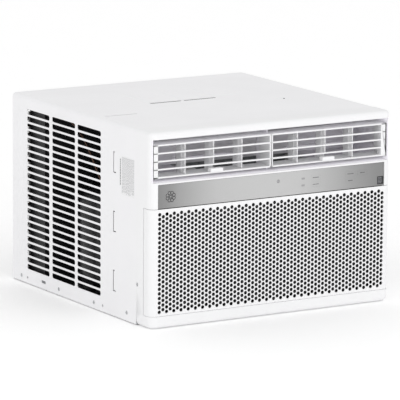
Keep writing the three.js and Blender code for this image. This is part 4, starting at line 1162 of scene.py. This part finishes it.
def indicators():
    for name, (x, z) in LENSES.items():
        lens = extrusion(oblong(x, z, LENS_HALF, LENS_CORNER), "y", FASCIA_Y, FASCIA_Y + 5 * MM)
        built(f"lens_{name}", "chassis", "dark_plastic", "smoked_lens", [lens], 0.2 * MM,
              (f"status_lens_{name}",))
    x, z, radius = SIGNAL
    dome = [(radius, FASCIA_Y + 4 * MM), (radius, FASCIA_Y + 0.5 * MM),
            (radius * 0.8, FASCIA_Y + 0.15 * MM), (radius * 0.3, FASCIA_Y)]
    built("signal_dome", "chassis", "dark_plastic", "smoked_lens", [turned_part("y", x, z, dome, 32)], 0.0,
          ("signal_window",), 50.0)


def emblem():
    """A plain rosette in a ring."""
    x, z, radius = EMBLEM
    face = FASCIA_Y - 0.6 * MM
    disc = [(radius, FASCIA_Y), (radius, face + 0.25 * MM), (radius - 0.3 * MM, face + 0.1 * MM)]
    built("emblem_disc", "chassis", "dark_plastic", "silver_paint", [turned_part("y", x, z, disc, 64)], 0.0,
          ("round_emblem",))

    def band(outer, inner):
        return [(outer, face + 0.15 * MM), (outer, face), (inner, face), (inner, face + 0.15 * MM)]

    parts = []
    for step in range(8):
        angle = math.radians(45 * step + 22.5)
        cx, cz = x + 7.6 * MM * math.cos(angle), z + 7.6 * MM * math.sin(angle)
        parts.append(ring_part("y", cx, cz, band(3.6 * MM, 2.5 * MM), 32))
    parts.append(ring_part("y", x, z, band(3.4 * MM, 2.2 * MM), 32))
    built("emblem_rosette", "chassis", "dark_plastic", "emblem_ink", parts)


def sticker():
    x0, x1, z0, z1 = STICKER
    face = FASCIA_Y - 0.25 * MM
    film = extrusion(rounded_rectangle(x0, x1, z0, z1, 0.8 * MM), "y", face, FASCIA_Y)
    built("sticker_film", "chassis", "dark_plastic", "dark_plastic", [film], nodes=("rating_sticker",))
    parts = []
    for row, widths in enumerate([(3.2, 4.6), (5.4, 2.2), (2.6, 3.1, 2.4), (6.8, 2.0), (3.4, 3.9)]):
        parts += dashes(x0 + 1.6 * MM, widths, z1 - (2.6 + row * 2.6) * MM, 0.8 * MM, face)
    printed("sticker_marks", "chassis", parts, "pale_ink")


control_strip()
for key_name, (key_x, key_z) in KEYS.items():
    key(key_name, key_x, key_z)
indicators()
emblem()
sticker()


# ------------------------------------------------------------------ side label and screws

LABEL = mm(-213, -164, 245, 321)
TITLE = mm(-164, -154, 260, 317)
SIDE_X = SHELL_HIGH.x
BASE_SCREWS = [mm(-185, 17), mm(-57, 13), mm(84, 13), mm(239, 13)]
BEZEL_SEAT = HALF - 1.2 * MM
BASE_SEAT = SIDE_X - 0.1 * MM
SCREW_RISE = 1.3 * MM
SCREW_DOME = [(0.98, 0.0), (1.0, 0.15), (0.92, 0.5), (0.7, 0.8), (0.35, 1.0)]  # shares of radius and rise


def side_label():
    """A film with columns of fine dashes that run up the side, and a bolder title column."""
    rest = SIDE_X - 0.3 * MM
    face = SIDE_X + 0.05 * MM
    y0, y1, z0, z1 = LABEL
    film = extrusion(rounded_rectangle(y0, y1, z0, z1, 1.5 * MM, 4), "x", -face, -rest)
    tail = extrusion(rounded_rectangle(TITLE[0] - 3 * MM, TITLE[1], TITLE[2], TITLE[3], 1.5 * MM, 4), "x",
                     -face + 0.01 * MM, -rest)
    built("label_film", "chassis", "white_steel", "label_film", [film, tail], 0.0, ("side_label",))
    shuffle = random.Random(7)

    def line(y, half, top, length):
        return box_part((-face - 0.04 * MM, y - half, top - length), (-face + 0.02 * MM, y + half, top))

    fine, bold = [], []
    columns = 14
    for column in range(columns):
        y = y0 + 2.4 * MM + column * (y1 - y0 - 4.8 * MM) / (columns - 1)
        z = z1 - 2.5 * MM
        end = z0 + (2.5 + (shuffle.random() * 8 if column % 4 == 3 else 0)) * MM
        while z > end + 2 * MM:
            length = min(shuffle.uniform(2.0, 6.5) * MM, z - end)
            fine.append(line(y, 0.5 * MM, z, length))
            z -= length + 1.2 * MM
    z = TITLE[3] - 3 * MM
    while z > TITLE[2] + 5 * MM:
        length = shuffle.uniform(2.2, 5.0) * MM
        bold.append(line(TITLE[0] + 4.7 * MM, 1.1 * MM, z, length))
        z -= length + 1.1 * MM
    printed("label_lines", "chassis", fine, "faint_ink")
    printed("label_title", "chassis", bold)


def screw(name, seat, facing, y, z, radius, rise, nodes=()):
    """A low domed head with a cross recess; facing is the side it looks to."""
    profile = [(radius * r, facing * (seat + rise * h)) for r, h in SCREW_DOME]
    head = turned_part("x", y, z, profile, 36)
    piece = piece_from(name, *head, "bright_steel", 50.0)
    arm, wide = radius * 0.55, radius * 0.14
    top = sorted((facing * (seat + 0.25 * rise), facing * (seat + 2 * rise)))
    recess = [cutter(*box_part((top[0], y - arm, z - wide), (top[1], y + arm, z + wide))),
              cutter(*box_part((top[0], y - wide, z - arm), (top[1], y + wide, z + arm)))]
    join_solids(piece, recess, "DIFFERENCE")
    piece.data.set_sharp_from_angle(angle=math.radians(50))
    moulded(piece, "chassis", "bright_steel", *nodes)


def shanks():
    """The threaded shanks of every screw, as rings on a core."""
    parts = []
    places = [(SIDE_X - 0.2 * MM, y, z) for y, z in BASE_SCREWS] + [(BEZEL_SEAT, *BEZEL_SCREW)]
    for seat, y, z in places:
        for side in (-1, 1):
            profile = [(1.4 * MM, side * seat)]
            for turn in range(6):
                start = seat - (0.8 + turn) * MM
                profile += [(1.15 * MM, side * start), (1.5 * MM, side * (start - 0.5 * MM))]
            parts.append(turned_part("x", y, z, profile + [(0.4 * MM, side * (seat - 6.8 * MM))], 16))
    built("screw_shanks", "chassis", "bright_steel", "bright_steel", parts)


side_label()
for number, (screw_y, screw_z) in enumerate(BASE_SCREWS):
    head = (screw_y, screw_z, 4.0 * MM, SCREW_RISE)
    screw(f"base_screw_head_left_{number + 1}", BASE_SEAT, -1, *head, (f"base_screw_left_{number + 1}",))
    screw(f"base_screw_head_right_{number + 1}", BASE_SEAT, 1, *head)
for hand, side in (("left", -1), ("right", 1)):
    screw(f"bezel_screw_head_{hand}", BEZEL_SEAT, side, *BEZEL_SCREW, 3.5 * MM, SCREW_RISE,
          (f"bezel_screw_{hand}",))
shanks()


# ------------------------------------------------------------------ coils, guard, fans and filter

SHAFT_Z = 165 * MM
SHAFT_BORE = 5.3  # millimetres
COIL_TUBE = 2.6 * MM
BEND_REACH = 7 * MM


def finned_coil(name, node, low, high, rows, columns, pitch):
    """Thin plates on copper hairpins, with a steel sheet at both ends."""
    x0, x1 = low.x + 12 * MM, high.x - 12 * MM
    count = int((x1 - x0) / pitch)
    plates = []
    for i in range(1, count):
        x = x0 + (x1 - x0) * i / count
        plates.append(bar(x - 0.12 * MM, x + 0.12 * MM, low.y + 0.4 * MM, high.y - 0.4 * MM,
                          low.z + MM, high.z - MM))
    ends = [bar(x, x + MM, low.y, high.y, low.z, high.z) for x in (x0, x1 - MM)]
    built(f"{name}_plates", "chassis", "aluminium", "aluminium", plates, nodes=(node,))
    built(f"{name}_ends", "chassis", "galvanised_steel", "dark_enamel", ends, nodes=(node,))
    tubes = []
    rise = (high.z - low.z) / rows
    stride = (high.y - low.y) / columns
    for row in range(rows):
        for column in range(columns):
            y = low.y + (column + 0.5) * stride
            z = low.z + (row + 0.5) * rise
            half = rise * 0.28
            for side, x in ((-1, x0), (1, x1)):
                bend = [(x, y, z - half), (x + side * 2 * MM, y, z - half)]
                bend += [(x + side * (2 * MM + BEND_REACH * math.sin(a)), y, z - half * math.cos(a))
                         for a in (math.radians(d) for d in (30, 60, 90, 120, 150))]
                bend += [(x + side * 2 * MM, y, z + half), (x, y, z + half)]
                tubes.append(swept(bend, COIL_TUBE, 10, 3))
            for level in (z - half, z + half):
                tubes.append(rod_part("x", y, level, COIL_TUBE, x0, x1, 10))
    built(f"{name}_tubes", "chassis", "copper", "aged_copper", tubes, nodes=(node,), smooth=50.0)


def rear_guard():
    """Two layers of welded wire in a flat steel frame."""
    low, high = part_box("rear_guard")
    middle = (low.y + high.y) / 2
    parts = frame_bars(low.x, high.x, low.y, high.y, low.z, high.z, 6 * MM)
    for i in range(1, 24):
        x = low.x + (high.x - low.x) * i / 24
        parts.append(rod_part("z", x, middle + 0.5 * MM, 0.8 * MM, low.z + 2 * MM, high.z - 2 * MM, 8))
    for i in range(1, 36):
        z = low.z + (high.z - low.z) * i / 36
        parts.append(rod_part("x", middle - 0.6 * MM, z, 0.6 * MM, low.x + 2 * MM, high.x - 2 * MM, 8))
    built("rear_guard_wires", "chassis", "white_steel", "white_steel", parts, nodes=("rear_guard",))


def fan_blade(root, tip, pitch_root, pitch_tip, chord_root, chord_tip, thick, sweep, rings=8, steps=8):
    """A twisted and cambered blade along +X about the Y axis, closed."""
    vertices, faces = [], []
    loop = 2 * (steps + 1)
    for i in range(rings + 1):
        share = i / rings
        radius = root + (tip - root) * share
        pitch = math.radians(pitch_root + (pitch_tip - pitch_root) * share)
        chord = chord_root + (chord_tip - chord_root) * math.sin(share * math.pi / 2)
        lean = sweep * share * share
        upper, lower = [], []
        for k in range(steps + 1):
            t = k / steps - 0.5
            camber = 0.09 * chord * (1 - 4 * t * t)
            body = thick * (0.25 + 0.75 * (1 - 4 * t * t))
            across, along = t * chord * math.cos(pitch), t * chord * math.sin(pitch)
            turn = lean + across / radius
            for line, offset in ((upper, body / 2), (lower, -body / 2)):
                line.append((radius * math.cos(turn), along + camber + offset, radius * math.sin(turn)))
        vertices += upper + lower[::-1]
        if i:
            here, before = i * loop, (i - 1) * loop
            faces += [(before + k, before + (k + 1) % loop, here + (k + 1) % loop, here + k)
                      for k in range(loop)]
    faces += [tuple(range(loop)), tuple(range(rings * loop, (rings + 1) * loop))]
    return vertices, faces


def turned_about_shaft(part, degrees, y):
    turn = Matrix.Rotation(math.radians(degrees), 4, "Y")
    moved = [turn @ Vector(vertex) + Vector((0, y, SHAFT_Z)) for vertex in part[0]]
    return [tuple(vertex) for vertex in moved], part[1]


def condenser_fan():
    low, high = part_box("condenser_fan")
    middle = (low.y + high.y) / 2
    blade = fan_blade(30 * MM, 149 * MM, 36, 20, 44 * MM, 84 * MM, 2.6 * MM, 0.22)
    parts = [turned_about_shaft(blade, 72 * i, middle) for i in range(5)]
    hub = profile_from(middle, [(SHAFT_BORE, -12), (34, -12), (34, 6), (32, 10), (26, 12),
                                (SHAFT_BORE, 12)])
    parts.append(ring_part("y", 0, SHAFT_Z, hub, 48))
    rim = profile_from(high.y, [(147, -12), (152, -12), (152, -1), (150.5, -1), (149.5, -9), (147, -9)])
    parts.append(ring_part("y", 0, SHAFT_Z, rim, 96))
    built("fan_moulding", "rotor", "dark_plastic", "dark_plastic", parts, nodes=("condenser_fan",))


def blower_wheel():
    low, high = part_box("blower_wheel")
    y0, y1 = low.y, high.y
    plate = profile_from(y1, [(SHAFT_BORE, -2.5), (92, -2.5), (92, 0), (SHAFT_BORE, 0)])
    mouth = profile_from(y0, [(72, 0), (92, 0), (92, 3), (76, 4), (72, 2)])
    hub = profile_from(y1, [(SHAFT_BORE, -24), (12, -24), (14, -20), (14, -2), (SHAFT_BORE, -2)])
    parts = [ring_part("y", 0, SHAFT_Z, plate, 72), ring_part("y", 0, SHAFT_Z, mouth, 72),
             ring_part("y", 0, SHAFT_Z, hub, 32)]
    for i in range(40):
        outer = arc(0, 0, 10.5 * MM, 20, 150, 6)
        inner = arc(0, 0, 9.7 * MM, 150, 20, 6)
        vane = extrusion([(82 * MM + u, v - 6 * MM) for u, v in outer + inner], "y", y0 + 2 * MM, y1 - MM)
        parts.append(turned_about_shaft(vane, 9 * i, 0.0))
    built("blower_moulding", "rotor", "dark_plastic", "dark_plastic", parts, nodes=("blower_wheel",))


def air_filter():
    low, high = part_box("air_filter")
    top = 222 * MM
    border, rib = 9 * MM, 1.5 * MM
    bars = frame_bars(low.x, high.x, low.y, high.y, low.z, top, border)
    bars.append(bar(-18 * MM, 18 * MM, low.y, high.y, top - MM, high.z))
    for i in range(1, 5):
        x = low.x + border + (high.x - low.x - 2 * border) * i / 5
        bars.append(bar(x - rib, x + rib, low.y, high.y, low.z + 2 * MM, top - 2 * MM))
    for i in range(1, 4):
        z = low.z + border + (top - low.z - 2 * border) * i / 4
        bars.append(bar(low.x + 2 * MM, high.x - 2 * MM, low.y + 0.6 * MM, high.y - 0.6 * MM,
                        z - MM, z + MM))
    built("filter_frame", "grille", "filter_mesh", "dark_plastic", bars, 0.4 * MM, ("air_filter",))
    # painted shade: dark strips at both ends of the filter hide the coil's ends, so the grille holes there
    # read dark
    shade_strips = [bar(side * (high.x + MM), side * (high.x + 25 * MM), low.y + 0.5 * MM, high.y,
                 low.z - 8 * MM, top + 6 * MM) for side in (-1, 1)]
    built("filter_shade_strips", "grille", "foam", "rubber", shade_strips, 0.6 * MM)
    middle = (low.y + high.y) / 2
    screen = bar(low.x + 4 * MM, high.x - 4 * MM, middle - 0.3 * MM, middle + 0.3 * MM,
                 low.z + 4 * MM, top - 4 * MM)
    built("filter_cloth", "grille", "filter_mesh", "filter_screen", [screen], nodes=("air_filter",))


finned_coil("condenser", "condenser_coil", *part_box("condenser_coil"), 9, 2, 2.1 * MM)
finned_coil("evaporator", "evaporator_coil", *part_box("evaporator_coil"), 6, 2, 2.1 * MM)
rear_guard()
condenser_fan()
blower_wheel()
air_filter()


# ------------------------------------------------------------------ compressor, motor and tubes

def compressor():
    x, y, z = -178 * MM, 42 * MM, 24 * MM
    radius, height = 62 * MM, 196 * MM
    profile = [(10 * MM, z)]
    profile += [(radius - 16 * MM + 16 * MM * math.sin(a), z + 16 * MM - 16 * MM * math.cos(a))
                for a in (math.radians(d) for d in range(0, 91, 15))]
    seam = z + 118 * MM
    groove = radius - 1.2 * MM
    profile += [(radius, seam), (groove, seam + MM), (groove, seam + 3 * MM), (radius, seam + 4 * MM)]
    profile += [(radius * math.cos(a), z + height - 34 * MM + 34 * MM * math.sin(a))
                for a in (math.radians(d) for d in range(0, 81, 10))]
    parts = [turned_part("z", x, y, profile, 64),
             rod_part("z", x, y, 6 * MM, z + height - 3 * MM, z + height + 10 * MM, 24)]
    for degrees in (90, 210, 330):
        angle = math.radians(degrees)
        eye_x, eye_y = x + 84 * MM * math.cos(angle), y + 84 * MM * math.sin(angle)
        eye = [(7 * MM, z + 2 * MM), (13 * MM, z + 2 * MM), (13 * MM, z + 5 * MM), (7 * MM, z + 5 * MM)]
        parts.append(ring_part("z", eye_x, eye_y, eye, 32))
        arm = bar(30 * MM, 76 * MM, -9 * MM, 9 * MM, z + 2 * MM, z + 5 * MM)
        turn = Matrix.Rotation(angle, 4, "Z")
        parts.append(([tuple(turn @ Vector(point) + Vector((x, y, 0))) for point in arm[0]], arm[1]))
    built("compressor_can", "chassis", "dark_paint", "dark_enamel", parts, nodes=("compressor",))


def accumulator():
    x, y, z0, z1 = -178 * MM, -58 * MM, 60 * MM, 186 * MM
    radius, neck, turn = 21 * MM, 8 * MM, 12 * MM
    angles = [math.radians(d) for d in range(0, 91, 15)]
    lower = [(neck + (radius - neck) * math.sin(a), z0 + turn - turn * math.cos(a)) for a in angles]
    upper = [(neck + (radius - neck) * math.cos(a), z1 - turn + turn * math.sin(a)) for a in angles]
    shell = turned_part("z", x, y, lower + upper, 40)
    built("accumulator_shell", "chassis", "dark_paint", "dark_enamel", [shell], nodes=("accumulator",),
          smooth=50.0)


def fan_motor():
    y0, y1 = 8 * MM, 112 * MM
    half = [(SHAFT_BORE, -5), (20, -5), (20, 0), (40, 0), (50, 3), (56, 9), (56, 40), (54.5, 41)]
    shell = profile_from(y0, half)
    shell += profile_from(y1, [(radius, -inset) for radius, inset in reversed(half)])
    built("motor_can", "chassis", "dark_paint", "dark_enamel", [ring_part("y", 0, SHAFT_Z, shell, 64)],
          nodes=("fan_motor",))


# Radius and path of each tube, in millimetres.
TUBES = {
    "discharge_tube": (4.0, [
        (-178, 42, 230.4), (-178, 42, 290), (-192, 90, 352), (-218, 180, 369), (-234, 228, 367),
        (-236, 242, 356), (-236, 242, 342.3)]),
    "suction_tube": (5.0, [
        (-234.5, -214.5, 206), (-250, -206, 206), (-252, -180, 207), (-252, -110, 208), (-238, -72, 216),
        (-192, -59, 216), (-178, -58, 206), (-178, -58, 186.3)]),
    "capillary_tube": (1.6, [
        (-240, 252, 342.3), (-240, 252, 356), (-251, 236, 367), (-262, 150, 368), (-263, 20, 340),
        (-262, -80, 240), (-262, -108, 226), (-262, -190, 180), (-250, -232, 176), (-232.4, -234, 176)]),
}

compressor()
accumulator()
fan_motor()
for tube_name, (tube_radius, tube_points) in TUBES.items():
    tube_path = [mm(*point) for point in tube_points]
    built(f"{tube_name}_pipe", "chassis", "copper", "aged_copper", [swept(tube_path, tube_radius * MM)],
          nodes=(tube_name,), smooth=60.0)


# ------------------------------------------------------------------ pieces kept from the CAD

KEPT = {
    "grille_hinge_pin_left": ("bright_steel", 0.2),
    "grille_hinge_pin_right": ("bright_steel", 0.2),
    "control_board": ("circuit_board", 0.2),
    "base_pan": ("galvanised_steel", 0.4),
    "cord_gland": ("rubber", 0.4),
    "blower_scroll": ("foam_beads", 1.5),
    "bulkhead": ("galvanised_steel", 0.3),
    "control_box": ("galvanised_steel", 0.4),
    "run_capacitor": ("aluminium", 0.3),
    "motor_shaft": ("bright_steel", 0.4),
    "motor_bracket": ("galvanised_steel", 0.5),
    "condenser_shroud": ("dark_plastic", 0.6),
    "compressor_grommet_1": ("rubber", 0.5),
    "compressor_grommet_2": ("rubber", 0.5),
    "compressor_grommet_3": ("rubber", 0.5),
}

for node_name, (finish, edge_mm) in KEPT.items():
    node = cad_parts[node_name]
    for material_slot in node.material_slots:
        material_slot.link = "OBJECT"
        material_slot.material = finish_of(finish)
    rounded(node, edge_mm * MM)


# ------------------------------------------------------------------ camera, light and floor

CAMERA_TARGET = Vector((-0.089, -0.151, 0.215))
CAMERA_AZIMUTH = math.radians(-31.04)
CAMERA_ELEVATION = math.radians(10.83)
CAMERA_ROLL = math.radians(0.38)
CAMERA_DISTANCE = 7.652
CAMERA_LENS = 354.0
LIGHTS = {  # place, aim, size and power
    "front_light": ((-0.2, -3.4, 1.0), (0, -0.2, 0.2), 2.0, 19),
    "side_light": ((-3.2, -0.6, 0.8), (-0.2, 0, 0.2), 2.0, 6),
}
SKY_STRENGTH = 0.92
FLOOR_REACH = 30


def camera():
    lens = bpy.data.cameras.new("camera")
    lens.lens = CAMERA_LENS
    lens.sensor_width = 36.0
    lens.clip_end = 100.0
    holder = bpy.data.objects.new("camera", lens)
    bpy.context.scene.collection.objects.link(holder)
    flat = math.cos(CAMERA_ELEVATION)
    back = Vector((math.sin(CAMERA_AZIMUTH) * flat, -math.cos(CAMERA_AZIMUTH) * flat,
                   math.sin(CAMERA_ELEVATION)))
    turn = (-back).to_track_quat("-Z", "Y").to_matrix().to_4x4() @ Matrix.Rotation(CAMERA_ROLL, 4, "Z")
    holder.matrix_world = Matrix.Translation(CAMERA_TARGET + back * CAMERA_DISTANCE) @ turn
    bpy.context.scene.camera = holder


def area_light(name, place, aim, size, power):
    light = bpy.data.lights.new(name, "AREA")
    light.shape = "DISK"
    light.size = size
    light.energy = power
    holder = bpy.data.objects.new(name, light)
    holder.location = place
    holder.rotation_euler = (Vector(aim) - Vector(place)).to_track_quat("-Z", "Y").to_euler()
    bpy.context.scene.collection.objects.link(holder)


def studio():
    world = bpy.data.worlds.new("studio")
    world.use_nodes = True
    sky = world.node_tree.nodes["Background"].inputs
    sky["Color"].default_value = (1.0, 1.0, 1.0, 1.0)
    sky["Strength"].default_value = SKY_STRENGTH
    bpy.context.scene.world = world
    bpy.context.scene.view_settings.view_transform = "Standard"
    for name, values in LIGHTS.items():
        area_light(name, *values)
    corners = [(x, y, 0) for x, y in rectangle(-FLOOR_REACH, FLOOR_REACH, -FLOOR_REACH, FLOOR_REACH)]
    floor = piece_from("floor", corners, [(0, 1, 2, 3)], "studio_floor")
    floor.location.z = -0.0005


camera()
studio()
